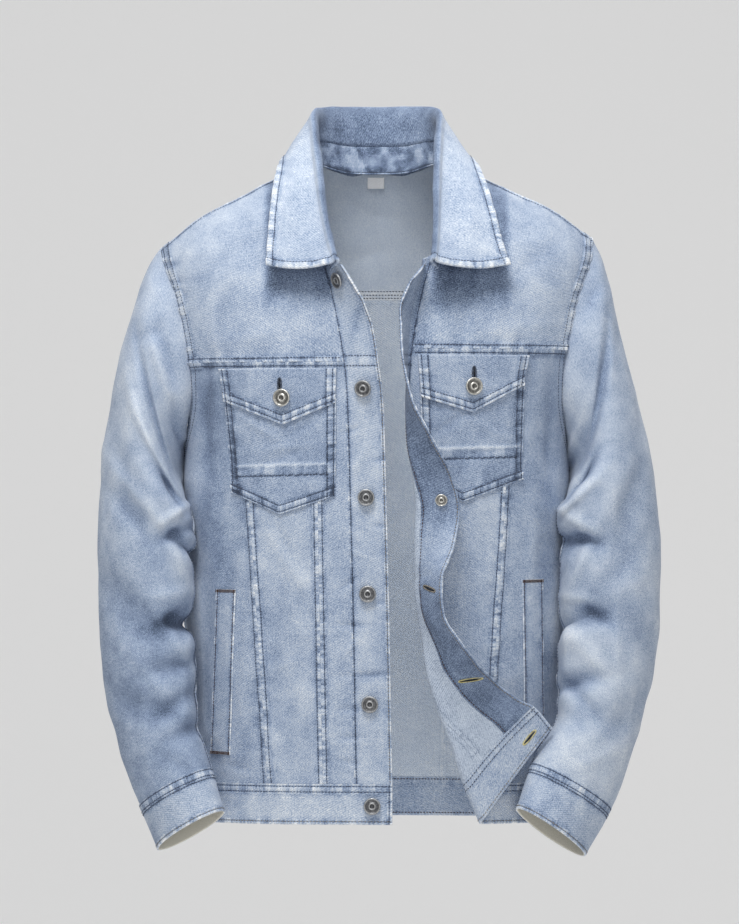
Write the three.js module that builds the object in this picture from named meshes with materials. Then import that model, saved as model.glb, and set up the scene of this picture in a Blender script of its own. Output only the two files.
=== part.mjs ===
// A washed denim jacket, filled out as if worn, with its front open.
// Millimetres. +X is the wearer's left, -Y the front and +Z up.
// The origin is inside the yoke, between the shoulders, where the wearer carries it.
import * as THREE from 'three';

// Driving sizes
const denim = 1.3;               // one layer of washed denim
const seamGap = 0.3;             // between two pieces at a seam
const turnedSeamGap = 0.8;       // where the seam rolls over with the front
const placketWidth = 40;
const placketThick = 2.2;
const placketLift = 0.6;         // how far a double layer stands above one layer
const placketTopZ = [-137, -114]; // at its free edge and at its seam
const bandHeight = 43;           // waistband
const bandThick = 2.6;
const bandLift = 1;
const frontWaistZ = -671;        // waistband seam at the centre front
const backDrop = 10;             // how much lower the waistband runs at the back
const yokeSeamZ = { right: -228, left: -214 };
const backYokeSeamZ = -154;
const shoulderStartZ = -235;     // from here up the body rounds over to the shoulder
const shoulderHalf = 231;        // from the centre to the top of the armhole
const leftShoulderLift = 11;     // the wearer's left shoulder sits higher
const underarmZ = -333;
const bodyPower = 2.2;           // a little squarer than an ellipse
const shoulderPower = 2.2;
const seamForward = 100.4;       // degrees over the shoulder, 90 on its ridge
const collarThick = 2.2;
const patchThick = 1.4;
const flapThick = 2.2;
const weltThick = 1.2;
const buttonRadius = 9;
const cuffStart = 650;           // mm down the sleeve from the armhole
const cuffEnd = 702;
const armholeGap = 0.75;
const sideStop = Math.PI / 2 - 0.0015;

const signs = { right: -1, left: 1 };
const sides = ['right', 'left'];

const looks = {
  denim: { color: 0xa9b8ce, roughness: 0.92, metalness: 0 },
  denimShade: { color: 0x97a6bd, roughness: 0.92, metalness: 0 },
  denimPale: { color: 0xc0ccdb, roughness: 0.9, metalness: 0 },
  silver: { color: 0xb9b7b0, roughness: 0.38, metalness: 1 },
  label: { color: 0xe9e9e6, roughness: 0.8, metalness: 0 },
};

const jacket = new THREE.Group();
jacket.name = 'denim_jacket';

const radians = THREE.MathUtils.degToRad;
const lerp = THREE.MathUtils.lerp;
const clamp = THREE.MathUtils.clamp;

// A table is read as smooth curves of its first column, with no overshoot between rows.
function readTable(rows) {
  const keys = rows.map((row) => row[0]);
  const last = keys.length - 1;
  function slopeAt(i, column) {
    if (i === 0 || i === last) {
      const from = i === 0 ? 0 : last - 1;
      return (rows[from + 1][column] - rows[from][column]) / (keys[from + 1] - keys[from]);
    }
    const before = (rows[i][column] - rows[i - 1][column]) / (keys[i] - keys[i - 1]);
    const after = (rows[i + 1][column] - rows[i][column]) / (keys[i + 1] - keys[i]);
    return before * after <= 0 ? 0 : (2 * before * after) / (before + after);
  }
  return (key, column = 1) => {
    const at = clamp(key, keys[0], keys[last]);
    let i = 0;
    while (i < last - 1 && at > keys[i + 1]) i += 1;
    const span = keys[i + 1] - keys[i];
    const t = (at - keys[i]) / span;
    const a = rows[i][column];
    const b = rows[i + 1][column];
    const slopeA = slopeAt(i, column) * span;
    const slopeB = slopeAt(i + 1, column) * span;
    const t2 = t * t;
    const t3 = t2 * t;
    return a * (2 * t3 - 3 * t2 + 1) + slopeA * (t3 - 2 * t2 + t)
      + b * (3 * t2 - 2 * t3) + slopeB * (t3 - t2);
  };
}

// The filled-out body: z, half width, depth to the front, depth to the back
const bodyShape = readTable([
  [-730, 194.5, 124, 120],
  [-671, 196.5, 125, 121],
  [-600, 198.5, 128, 123],
  [-500, 200, 132, 126],
  [-400, 202, 136, 128],
  [-325, 205, 138, 129],
  [-267, 211, 139, 129],
  [-219, 219, 138, 129],
  [-161, 229, 135, 129],
  [-105, 243, 131, 129],
  [60, 243, 131, 129],
]);

// Height of the shoulder ridge at a distance from the centre
const ridgeShape = readTable([
  [0, 38],
  [40, 20],
  [60, 6],
  [76, -9],
  [92, -19],
  [115, -30],
  [148, -47],
  [191, -70],
  [231, -103],
  [260, -130],
]);

// The armhole: z, angle round the body at the front and at the back
const armhole = readTable([
  [underarmZ, 90, 90],
  [-322, 84, 84.5],
  [-299, 75.5, 80],
  [-267, 69, 76],
  [-219, 65.3, 73],
  [-161, 67.2, 72.5],
  [-103, 71.2, 71.2],
]);

// Front seams, as distances from the centre: z, placket seam, inner and outer panel seam
const frontSeams = readTable([
  [-720, 22, 55.5, 112],
  [-665, 24, 57, 115.5],
  [-500, 27, 60, 126],
  [-378, 30, 62, 134],
  [-260, 33.5, 63, 140],
  [-228, 36.5, 63.5, 142],
  [-190, 42, 64, 144],
  [-151, 50, 65, 146],
  [-110, 60.5, 66, 148],
  [-88, 64.5, 70, 150],
  [-48, 72, 75, 150],
  [-14, 75.6, 80, 150],
]);

// Back panel seam, as a distance from the centre
const backSeam = readTable([
  [-720, 72],
  [-500, 79],
  [-154, 98],
]);

// How each front turns back on itself:
// z, where the turn starts, degrees it turns through, slant of the turn line, radius
const frontTurns = {
  right: readTable([
    [-714, 24, 0, 0, 6],
    [-290, 33, 0, 0, 6],
    [-234, 35.5, 13, 0, 6],
    [-196, 41, 16, 0, 6],
    [-172, 45.5, 30, 0, 6],
    [-157, 48.5, 43, 0, 6],
    [-140, 53, 58, 0, 6],
    [-118, 58, 76, 0, 6],
  ]),
  left: readTable([
    [-760, 134, 172, 28, 6.5],
    [-714, 114, 172, 28, 6.5],
    [-660, 92, 172, 28, 6.5],
    [-627, 82, 172, 26, 6.5],
    [-600, 71, 172, 20, 6],
    [-575, 63, 168, 13, 6],
    [-550, 57, 150, 8, 6],
    [-515, 52, 124, 4, 5.5],
    [-490, 48, 114, 2, 5.5],
    [-450, 45, 120, 0, 5.5],
    [-415, 45, 150, 0, 5.5],
    [-380, 46, 172, 0, 5.5],
    [-350, 43, 166, 0, 5.5],
    [-310, 38, 130, 0, 5.5],
    [-265, 36, 92, 0, 5.5],
    [-230, 36, 79, 0, 5.5],
    [-191, 38, 68, 0, 5.5],
    [-173, 41.5, 61, 0, 5.5],
    [-156, 46, 67, 0, 5.5],
    [-140, 50, 83, 0, 5.5],
    [-118, 54, 101, 0, 5.5],
  ]),
};

// Soft folds of the body: side, s, z, heading in degrees, half length, half width, depth
const bodyFolds = [
  ['right', 176, -330, 84, 70, 15, 5],
  ['right', 148, -400, 96, 60, 16, 3],
  ['left', 180, -335, 96, 70, 15, 4.5],
  ['right', 95, -160, 62, 60, 22, 3],
  ['left', 98, -165, 118, 60, 20, 3],
];

function foldDepth(across, along, heading, halfLength, halfWidth, depth) {
  const turn = radians(heading);
  const length = across * Math.cos(turn) + along * Math.sin(turn);
  const width = along * Math.cos(turn) - across * Math.sin(turn);
  return depth * Math.exp(-((length / halfLength) ** 2) - (width / halfWidth) ** 2);
}

function angleAt(s, z) {
  const share = Math.min(Math.abs(s) / bodyShape(z, 1), 1);
  return Math.sign(s) * Math.asin(share ** (bodyPower / 2));
}

function sidewaysAt(angle, z) {
  const share = Math.abs(Math.sin(angle)) ** (2 / bodyPower);
  return Math.sign(angle) * share * bodyShape(z, 1);
}

function ridgeHeight(side, s) {
  const lift = side === 'left' ? leftShoulderLift : 0;
  return ridgeShape(Math.abs(s)) + lift * (s / shoulderHalf) ** 2;
}

function riseAt(side, s, z) {
  const whole = ridgeHeight(side, s) - shoulderStartZ;
  return clamp((z - shoulderStartZ) / whole, 0, 1);
}

function heightAt(side, s, over) {
  const rise = Math.sin(radians(over)) ** (2 / shoulderPower);
  return shoulderStartZ + (ridgeHeight(side, s) - shoulderStartZ) * rise;
}

function overAt(side, s, z) {
  return THREE.MathUtils.radToDeg(Math.asin(riseAt(side, s, z) ** (shoulderPower / 2)));
}

// A point of the body, s from the centre to the side, on the front or the back
function bodyPoint(side, s, z, back = false) {
  const share = Math.min(Math.abs(s) / bodyShape(z, 1), 1);
  const round = (1 - share ** bodyPower) ** (1 / bodyPower);
  const lean = Math.sqrt(1 - riseAt(side, s, z) ** shoulderPower);
  let y = (back ? bodyShape(z, 3) : -bodyShape(z, 2)) * round * lean;
  if (!back) {
    for (const [foldSide, foldS, foldZ, ...size] of bodyFolds) {
      if (foldSide === side) y += foldDepth(s - foldS, z - foldZ, ...size) * round;
    }
  }
  return new THREE.Vector3(signs[side] * s, y, z);
}

// A point of the front, which past its turn line rolls over towards the viewer
function frontPoint(side, s, z) {
  const turns = frontTurns[side];
  let footZ = z;
  let past = 0;
  let slant = 0;
  for (let pass = 0; pass < 8; pass += 1) {
    slant = radians(turns(footZ, 3));
    past = (turns(footZ, 1) - s) / Math.cos(slant);
    footZ = z + past * Math.sin(slant);
  }
  if (past <= 0) return bodyPoint(side, s, z);
  const step = 0.5;
  const footS = turns(footZ, 1);
  const foot = bodyPoint(side, footS, footZ);
  const ahead = bodyPoint(side, footS - step * Math.cos(slant), footZ - step * Math.sin(slant));
  const along = bodyPoint(side, footS - step * Math.sin(slant), footZ + step * Math.cos(slant));
  const flat = ahead.sub(foot).normalize();
  const out = along.sub(foot).cross(flat).multiplyScalar(signs[side]).normalize();
  const turn = radians(turns(footZ, 2));
  const radius = turns(footZ, 4);
  const bend = Math.min(past, radius * turn);
  const rest = past - bend;
  const angle = bend / radius;
  const inPlane = radius * Math.sin(angle) + rest * Math.cos(angle);
  const outward = radius * (1 - Math.cos(angle)) + rest * Math.sin(angle);
  return foot.addScaledVector(flat, inPlane).addScaledVector(out, outward);
}

// A cloth wall over a grid: the face stands `lift` above the given surface and the wall
// goes in from there. `mirror` turns the faces round for the other side's grids.
function wall(options) {
  const { name, look, at, columns, rows, thick } = options;
  const { lift = 0, closed = false, mirror = false } = options;
  const points = [];
  const step = 0.002;
  const count = closed ? columns : columns + 1;
  const low = (value) => Math.max(value - step, 0);
  const high = (value) => Math.min(value + step, 1);
  for (const depth of [lift, lift - thick]) {
    for (let j = 0; j <= rows; j += 1) {
      for (let i = 0; i < count; i += 1) {
        const u = i / columns;
        const v = j / rows;
        const du = closed
          ? at(u + step, v).sub(at(u - step, v))
          : at(high(u), v).sub(at(low(u), v));
        const dv = at(u, high(v)).sub(at(u, low(v)));
        const normal = du.cross(dv).normalize().multiplyScalar(mirror ? -1 : 1);
        points.push(at(u, v).addScaledVector(normal, depth));
      }
    }
  }
  const layer = count * (rows + 1);
  const faces = [];
  const quad = (a, b, c, d) => faces.push(a, b, c, a, c, d);
  const spot = (i, j, inner) => (i % count) + j * count + (inner ? layer : 0);
  const across = closed ? count : columns;
  for (let j = 0; j < rows; j += 1) {
    for (let i = 0; i < across; i += 1) {
      quad(spot(i, j), spot(i + 1, j), spot(i + 1, j + 1), spot(i, j + 1));
      quad(spot(i, j, 1), spot(i, j + 1, 1), spot(i + 1, j + 1, 1), spot(i + 1, j, 1));
    }
  }
  for (let i = 0; i < across; i += 1) {
    quad(spot(i, 0, 1), spot(i + 1, 0, 1), spot(i + 1, 0), spot(i, 0));
    quad(spot(i, rows), spot(i + 1, rows), spot(i + 1, rows, 1), spot(i, rows, 1));
  }
  if (!closed) {
    for (let j = 0; j < rows; j += 1) {
      quad(spot(0, j), spot(0, j + 1), spot(0, j + 1, 1), spot(0, j, 1));
      quad(spot(columns, j, 1), spot(columns, j + 1, 1), spot(columns, j + 1), spot(columns, j));
    }
  }
  if (mirror) faces.reverse();
  const geometry = new THREE.BufferGeometry();
  geometry.setAttribute('position', new THREE.Float32BufferAttribute(
    points.flatMap((point) => [point.x, point.y, point.z]),
    3,
  ));
  geometry.setIndex(faces);
  geometry.computeVertexNormals();
  const mesh = new THREE.Mesh(geometry, new THREE.MeshStandardMaterial(looks[look]));
  mesh.name = name;
  jacket.add(mesh);
  return mesh;
}

// The waistband seam runs a little lower towards the back
function waistZ(s, back = false) {
  const share = (angleAt(Math.abs(s), frontWaistZ) / (Math.PI / 2)) ** 2;
  return back
    ? frontWaistZ - backDrop * (1 - share / 2)
    : frontWaistZ - (backDrop * share) / 2;
}

// Angles of a front panel's two edges at a height; the side panel ends at the armhole
// above the underarm and at the side seam below it.
function sideEdge(z, back = false) {
  if (z <= underarmZ) return sideStop;
  return Math.min(radians(armhole(z, back ? 2 : 1)), sideStop);
}

function panelPoint(u, v, topZ, place, surface, back) {
  const guess = lerp(topZ, frontWaistZ, v);
  const bottomZ = waistZ(place(u, guess), back) + seamGap;
  const z = lerp(topZ, bottomZ, v);
  return surface(place(u, z), z);
}

function seamToSeam(z, innerColumn, outerColumn, gap) {
  const inner = angleAt(frontSeams(z, innerColumn) + gap / 2, z);
  const outer = outerColumn
    ? angleAt(frontSeams(z, outerColumn) - gap / 2, z)
    : sideEdge(z);
  return [inner, outer];
}

// Fronts: three panels under the yoke, a placket, a waistband and the yoke
function addFrontPanels(side) {
  const mirror = side === 'right';
  const surface = (s, z) => frontPoint(side, s, z);
  const topZ = yokeSeamZ[side] - seamGap / 2;
  const fine = side === 'left';
  const gap = fine ? turnedSeamGap : seamGap;
  const panels = [
    { name: 'center', inner: 1, outer: 2, columns: fine ? 8 : 4, rows: fine ? 19 : 12 },
    { name: 'middle', inner: 2, outer: 3, columns: fine ? 10 : 5, rows: fine ? 19 : 12 },
    { name: 'side', inner: 3, outer: 0, columns: 6, rows: 15 },
  ];
  for (const { name, inner, outer, columns, rows } of panels) {
    const place = (u, z) => {
      const [from, to] = seamToSeam(z, inner, outer, gap);
      return sidewaysAt(lerp(from, to, u), z);
    };
    wall({
      name: `front_${name}_${side}`,
      look: 'denim',
      columns,
      rows,
      thick: denim,
      mirror: !mirror,
      at: (u, v) => panelPoint(u, v, topZ, place, surface, false),
    });
  }
  wall({
    name: `placket_${side}`,
    look: 'denimShade',
    columns: fine ? 8 : 5,
    rows: fine ? 26 : 17,
    thick: placketThick,
    lift: placketLift,
    mirror: !mirror,
    at: (u, v) => {
      const topAt = lerp(placketTopZ[0], placketTopZ[1], u);
      const z = lerp(topAt, frontWaistZ + seamGap, v);
      return surface(frontSeams(z, 1) - gap / 2 - placketWidth * (1 - u), z);
    },
  });
  wall({
    name: `waistband_${side}`,
    look: 'denim',
    columns: fine ? 32 : 14,
    rows: 2,
    thick: bandThick,
    lift: bandLift,
    mirror: !mirror,
    at: (u, v) => {
      const from = angleAt(frontSeams(frontWaistZ, 1) - placketWidth, frontWaistZ);
      const s = sidewaysAt(lerp(from, sideStop, u), frontWaistZ);
      const z = waistZ(s) - seamGap - (bandHeight - seamGap) * v;
      return surface(sidewaysAt(lerp(from, sideStop, u), z), z);
    },
  });
}

function addFrontYoke(side) {
  const bottomZ = yokeSeamZ[side] + seamGap / 2;
  const topOver = 180 - seamForward - 0.2;
  const topZ = ridgeHeight(side, shoulderHalf);
  wall({
    name: `front_yoke_${side}`,
    look: 'denim',
    columns: 8,
    rows: 9,
    thick: denim,
    mirror: side === 'right',
    at: (u, v) => {
      let z = lerp(bottomZ, -60, v);
      let s = 100;
      for (let pass = 0; pass < 12; pass += 1) {
        const inner = frontSeams(z, 1) + seamGap / 2;
        const outer = sidewaysAt(sideEdge(Math.min(z, topZ)), Math.min(z, topZ));
        s = lerp(inner, outer, u);
        const over = lerp(overAt(side, s, bottomZ), topOver, v);
        z = heightAt(side, s, over);
      }
      return frontPoint(side, s, z);
    },
  });
}

// The back yoke reaches from one armhole to the other and over the shoulders.
// Its neckline: share of the way to the shoulder, distance from the centre, degrees over.
const backNeck = readTable([
  [0, 0, 52.5],
  [0.3, 24, 53.6],
  [0.55, 44, 59],
  [0.75, 60, 68],
  [0.9, 71, 83],
  [1, 75.6, seamForward],
]);
const neckShare = 0.4;

function armholeS(side, over) {
  const back = over < 90;
  let s = shoulderHalf;
  for (let pass = 0; pass < 16; pass += 1) {
    const z = Math.min(heightAt(side, s, over), ridgeHeight(side, shoulderHalf));
    s = sidewaysAt(sideEdge(z, back), z);
  }
  return s;
}

function backYokePoint(u, v) {
  const way = 2 * u - 1;
  const side = way < 0 ? 'right' : 'left';
  const size = Math.abs(way);
  const inNeck = Math.min(size / neckShare, 1);
  const past = Math.max(size - neckShare, 0) / (1 - neckShare);
  const topOver = backNeck(inNeck, 2);
  const innerS = lerp(75 * inNeck, backNeck(inNeck, 1), v);
  let s = innerS;
  let over = 0;
  for (let pass = 0; pass < 8; pass += 1) {
    over = lerp(overAt(side, s, backYokeSeamZ + seamGap / 2), topOver, v);
    s = past > 0 ? lerp(innerS, armholeS(side, over), past) : innerS;
  }
  return bodyPoint(side, s, heightAt(side, s, over), over < 90);
}

function addBack() {
  wall({
    name: 'back_yoke',
    look: 'denim',
    columns: 20,
    rows: 7,
    thick: denim,
    mirror: true,
    at: backYokePoint,
  });
  const topZ = backYokeSeamZ - seamGap / 2;
  wall({
    name: 'back_center',
    look: 'denim',
    columns: 6,
    rows: 9,
    thick: denim,
    at: (u, v) => {
      const way = 2 * u - 1;
      const side = way < 0 ? 'right' : 'left';
      const place = (share, z) => Math.abs(way) * (backSeam(z) - seamGap / 2);
      return panelPoint(u, v, topZ, place, (s, z) => bodyPoint(side, s, z, true), true);
    },
  });
  for (const side of sides) {
    wall({
      name: `back_side_${side}`,
      look: 'denim',
      columns: 6,
      rows: 14,
      thick: denim,
      mirror: side === 'right',
      at: (u, v) => {
        const place = (share, z) => {
          const inner = angleAt(backSeam(z) + seamGap / 2, z);
          return sidewaysAt(lerp(inner, sideEdge(z, true), share), z);
        };
        return panelPoint(u, v, topZ, place, (s, z) => bodyPoint(side, s, z, true), true);
      },
    });
  }
  wall({
    name: 'waistband_back',
    look: 'denim',
    columns: 20,
    rows: 2,
    thick: bandThick,
    lift: bandLift,
    at: (u, v) => {
      const angle = lerp(-sideStop, sideStop, u);
      const side = angle < 0 ? 'right' : 'left';
      const seam = waistZ(sidewaysAt(Math.abs(angle), frontWaistZ), true);
      const z = seam - seamGap - (bandHeight - seamGap) * v;
      return bodyPoint(side, sidewaysAt(Math.abs(angle), z), z, true);
    },
  });
}

// Sleeves, ring by ring. Columns: mm down the sleeve, outer edge (distance out, y, z),
// inner edge (distance out, y, z), half depth front to back, drop of the back.
const sleeveRings = {
  right: readTable([
    [0, 231, 0, -103, 205, 0, -333, 62, 0],
    [50, 245, -2, -124, 209, -4, -345, 67, 0],
    [130, 266, -6, -180, 211, -12, -357, 69, 3],
    [210, 284, -12, -262, 206, -34, -374, 67, 5],
    [300, 297, -20, -345, 196, -62, -402, 62, 6],
    [375, 300, -28, -420, 196, -64, -446, 60, 7],
    [445, 299, -36, -490, 195, -66, -505, 58, 8],
    [515, 293, -48, -560, 194, -70, -555, 55, 9],
    [590, 276, -64, -635, 189, -84, -614, 49, 11],
    [650, 251, -82, -697, 175, -100, -657, 43, 13],
    [704, 231, -96, -744, 160, -114, -703, 41, 14],
  ]),
  left: readTable([
    [0, 231, 0, -92, 205, 0, -333, 62, 0],
    [50, 243, -2, -116, 209, -4, -344, 67, 0],
    [130, 261, -6, -186, 211, -12, -354, 69, 3],
    [210, 280, -12, -265, 206, -34, -368, 67, 5],
    [300, 297, -20, -345, 195, -62, -390, 62, 6],
    [375, 304, -28, -423, 196, -64, -440, 60, 7],
    [445, 304, -36, -490, 196, -66, -500, 58, 8],
    [515, 296, -46, -560, 193, -70, -548, 55, 9],
    [590, 277, -62, -628, 191, -84, -600, 49, 11],
    [650, 247, -86, -700, 163, -106, -651, 44, 13],
    [704, 218, -102, -750, 146, -122, -700, 42, 14],
  ]),
};

// Folds of the sleeves, pressed in where depth is positive. Columns: mm down the sleeve,
// degrees round it (0 outer, 90 front, 180 inner), heading, half length, half width, depth.
const sleeveFolds = {
  right: [
    [150, 100, 28, 46, 13, 9],
    [245, 128, 62, 34, 13, 13],
    [205, 104, 30, 52, 12, -6],
    [352, 164, 16, 44, 15, 12],
    [300, 70, 70, 60, 18, 5],
    [452, 164, -12, 52, 17, 17],
    [440, 60, 40, 60, 20, 5],
    [512, 132, -18, 48, 12, 7],
    [560, 80, 20, 50, 15, 6],
    [595, 142, -10, 44, 12, 8],
    [470, 262, 10, 60, 16, 6],
    [330, 250, -15, 60, 16, 6],
    [560, 300, 14, 52, 14, 5],
  ],
  left: [
    [120, 78, 40, 40, 14, 8],
    [240, 132, 60, 34, 14, 15],
    [290, 150, 30, 40, 12, -7],
    [352, 158, -14, 46, 16, 13],
    [340, 70, 66, 60, 18, 5],
    [456, 158, 10, 50, 16, 14],
    [470, 66, -30, 60, 18, 5],
    [545, 140, 16, 46, 13, 11],
    [590, 92, 10, 50, 15, 5],
    [460, 264, -10, 60, 16, 6],
    [320, 252, 15, 60, 16, 6],
    [560, 300, -14, 52, 14, 5],
  ],
};
const sleeveRadius = 55;

function armholePoint(side, round) {
  const turn = radians(round);
  const z = lerp(underarmZ, ridgeHeight(side, shoulderHalf), (1 + Math.cos(turn)) / 2);
  const back = Math.sin(turn) < 0;
  const s = sidewaysAt(sideEdge(z, back), z);
  const point = bodyPoint(side, s, z, back);
  const gap = armholeGap * (1 + Math.cos(turn) ** 2 + 0.8 * Math.max(-Math.cos(turn), 0));
  point.x += signs[side] * gap;
  return point;
}

function ringPoint(side, down, round) {
  const ring = sleeveRings[side];
  const outer = new THREE.Vector3(signs[side] * ring(down, 1), ring(down, 2), ring(down, 3));
  const inner = new THREE.Vector3(signs[side] * ring(down, 4), ring(down, 5), ring(down, 6));
  const drop = radians(ring(down, 8));
  const half = ring(down, 7);
  const depth = new THREE.Vector3(0, -Math.cos(drop), Math.sin(drop)).multiplyScalar(half);
  const middle = outer.clone().add(inner).multiplyScalar(0.5);
  const turn = radians(round);
  return middle
    .addScaledVector(outer.sub(inner), Math.cos(turn) / 2)
    .addScaledVector(depth, Math.sin(turn));
}

function plainSleevePoint(side, down, round) {
  const point = ringPoint(side, down, round);
  const reach = 1 - THREE.MathUtils.smoothstep(down, 0, 110);
  if (reach > 0) {
    const seam = armholePoint(side, round).sub(ringPoint(side, 0, round));
    point.addScaledVector(seam, reach);
  }
  return point;
}

function sleevePoint(side, down, round) {
  const point = plainSleevePoint(side, down, round);
  const middle = plainSleevePoint(side, down, round + 180).add(point).multiplyScalar(0.5);
  let press = 0;
  for (const [foldDown, foldRound, ...size] of sleeveFolds[side]) {
    const turn = ((round - foldRound + 540) % 360) - 180;
    press += foldDepth(radians(turn) * sleeveRadius, down - foldDown, ...size);
  }
  const nearEnds = THREE.MathUtils.smoothstep(down, 10, 60)
    * (1 - THREE.MathUtils.smoothstep(down, cuffStart - 40, cuffStart));
  return point.add(middle.sub(point).normalize().multiplyScalar(press * nearEnds));
}

function addSleeve(side) {
  const mirror = side === 'right';
  const pieces = [
    { name: 'upper', from: -84, to: 186, columns: 19 },
    { name: 'under', from: 186.4, to: 275.6, columns: 5 },
  ];
  for (const { name, from, to, columns } of pieces) {
    wall({
      name: `sleeve_${name}_${side}`,
      look: name === 'upper' ? 'denim' : 'denimShade',
      columns,
      rows: 22,
      thick: denim,
      mirror: !mirror,
      at: (u, v) => sleevePoint(side, (cuffStart - seamGap) * v, lerp(from, to, u)),
    });
  }
  wall({
    name: `cuff_${side}`,
    look: 'denim',
    columns: 24,
    rows: 2,
    thick: placketThick,
    lift: placketLift,
    closed: true,
    mirror: !mirror,
    at: (u, v) => sleevePoint(side, lerp(cuffStart + seamGap, cuffEnd, v), 360 * u),
  });
}

// The collar follows curves with the same stations, from one front end round the neck to
// the other: the neck seam, the roll line and the outer edge.
const rollStations = {
  right: [
    [-43.5, -158, -123],
    [-50, -137, -99],
    [-57, -110, -64],
    [-62, -74, -24],
    [-67, -22, 20],
    [-68.5, 28, 47],
    [-58, 66, 54],
    [-32, 88, 56],
  ],
  center: [0, 95, 56.5],
  left: [
    [59.5, -158, -122],
    [62, -136, -98],
    [63.5, -110, -66],
    [64.5, -74, -24],
    [67, -22, 20],
    [68.5, 28, 47],
    [58, 66, 54],
    [32, 88, 56],
  ],
};
const edgeStations = {
  right: [
    [-116, -126, -127],
    [-115.5, -112, -103],
    [-113, -89, -68],
    [-109, -58, -32],
    [-104, -20, -13],
    [-96, 34, -9],
    [-72, 78, -16],
    [-38, 100, -21],
  ],
  center: [0, 108, -22],
  left: [
    [140, -118, -126],
    [132, -107, -101],
    [124, -86, -64],
    [114, -54, -30],
    [106, -20, -13],
    [96, 34, -9],
    [72, 78, -16],
    [38, 100, -21],
  ],
};

function curveThrough(ends) {
  const stations = [...ends.right, ends.center, ...[...ends.left].reverse()];
  return new THREE.CatmullRomCurve3(stations.map((spot) => new THREE.Vector3(...spot)));
}

// The neck seam follows the neckline of the yokes and ends on top of the plackets.
// Columns: distance from the centre, z, whether it is at the back
const neckStations = [
  [62.5, -98, false],
  [67.5, -72, false],
  [73, -42, false],
  [76, -15, false],
  [75, -9, true],
  [60, -8, true],
  [32, -14, true],
];
const neckEnds = { right: [-47, -149, -130.5], left: [62, -149, -129.5] };
const neckCenterZ = -14.5;

function neckCurve() {
  const [right, left] = sides.map((side) => [
    neckEnds[side],
    ...neckStations.map(([s, z, back]) => {
      const lift = side === 'left' ? leftShoulderLift * (s / shoulderHalf) ** 2 : 0;
      return bodyPoint(side, s, z + lift, back).toArray();
    }),
  ]);
  const center = bodyPoint('left', 0, neckCenterZ, true).toArray();
  return curveThrough({ right, center, left });
}

// Pushes a point of the collar's fall clear of the shoulders and chest
function clearOfBody(point, margin) {
  const s = Math.abs(point.x);
  const share = Math.min(s / bodyShape(point.z, 1), 1);
  const round = (1 - share ** bodyPower) ** (1 / bodyPower);
  const depth = bodyShape(point.z, point.y > 0 ? 3 : 2) * round;
  const height = ridgeHeight(point.x > 0 ? 'left' : 'right', s) - shoulderStartZ;
  const up = Math.max(point.z - shoulderStartZ, 0);
  const reach = Math.sqrt((point.y / depth) ** 2 + (up / height) ** shoulderPower);
  const wanted = 1 + margin / Math.hypot(point.y, up);
  if (reach >= wanted) return point;
  const grow = wanted / reach;
  return new THREE.Vector3(point.x, point.y * grow, shoulderStartZ + up * grow);
}

const rollHalf = 4.2;            // half the width of the fold at the roll line
const rollDrop = 6.5;            // from the roll line down to where the fold is full width
const collarStart = 2.1;         // from the neckline of the yokes to the collar
const standShare = 0.42;         // of the way from the neck seam to the roll line
const fallClearance = 3.2;
const endSag = 5;                // the front edges of the leaf hang a little in the middle
const collarColumns = 28;

function addCollar() {
  const neck = neckCurve();
  const roll = curveThrough(rollStations);
  const edge = curveThrough(edgeStations);
  const sections = (u) => {
    const foot = neck.getPoint(u);
    const top = roll.getPoint(u);
    const end = edge.getPoint(u);
    const away = end.clone().sub(top).setZ(0).normalize();
    const tight = lerp(1, 0.4, Math.abs(2 * u - 1) ** 4);
    const half = rollHalf * Math.sqrt(tight);
    const drop = new THREE.Vector3(0, 0, -rollDrop * tight);
    const inner = top.clone().addScaledVector(away, -half).add(drop);
    const outer = top.clone().addScaledVector(away, half).add(drop);
    return { foot, inner, top, outer, end, away };
  };
  const standPoint = (u, share, extra) => {
    const { foot, inner } = sections(u);
    const up = inner.clone().sub(foot);
    return foot.addScaledVector(up, share + extra / up.length());
  };
  wall({
    name: 'collar_stand',
    look: 'denimShade',
    columns: collarColumns,
    rows: 2,
    thick: collarThick,
    lift: denim,
    at: (u, v) => standPoint(u, standShare * v, lerp(collarStart, -2 * seamGap, v)),
  });
  wall({
    name: 'collar_leaf',
    look: 'denimPale',
    columns: collarColumns,
    rows: 10,
    thick: collarThick,
    lift: denim,
    at: (u, v) => {
      const { inner, top, outer, end, away } = sections(u);
      const start = standPoint(u, standShare, 0);
      const belly = outer.clone().lerp(end, 0.5).addScaledVector(away, 3);
      belly.z -= endSag * Math.abs(2 * u - 1) ** 8;
      const fall = [belly, end].map((point) => clearOfBody(point, fallClearance + collarThick));
      const section = new THREE.CatmullRomCurve3([start, inner, top, outer, ...fall]);
      const point = section.getPoint(v);
      return v > 0.6 ? clearOfBody(point, fallClearance + collarThick - denim) : point;
    },
  });
}

// Chest pockets: the patch lies on the panels and the flap on the patch.
// Distances from the centre and heights of the corners and of the point at the bottom
const pockets = {
  right: {
    patch: {
      top: -240,
      innerTop: 42.5,
      outerTop: 163.5,
      inner: [43.5, -368],
      outer: [152.6, -365],
      point: [102, -388],
    },
    flap: {
      top: -234.5,
      innerTop: 42.5,
      outerTop: 164.5,
      inner: [43.5, -271],
      outer: [159, -269],
      point: [98.6, -294],
    },
    button: [98, -265.5],
  },
  left: {
    patch: {
      top: -226,
      innerTop: 43,
      outerTop: 156,
      inner: [49, -352],
      outer: [152.6, -351],
      point: [89, -375],
    },
    flap: {
      top: -220.5,
      innerTop: 42,
      outerTop: 158.5,
      inner: [45.6, -265],
      outer: [152.6, -252],
      point: [99.6, -281],
    },
    button: [99.4, -253.5],
  },
};

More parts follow.
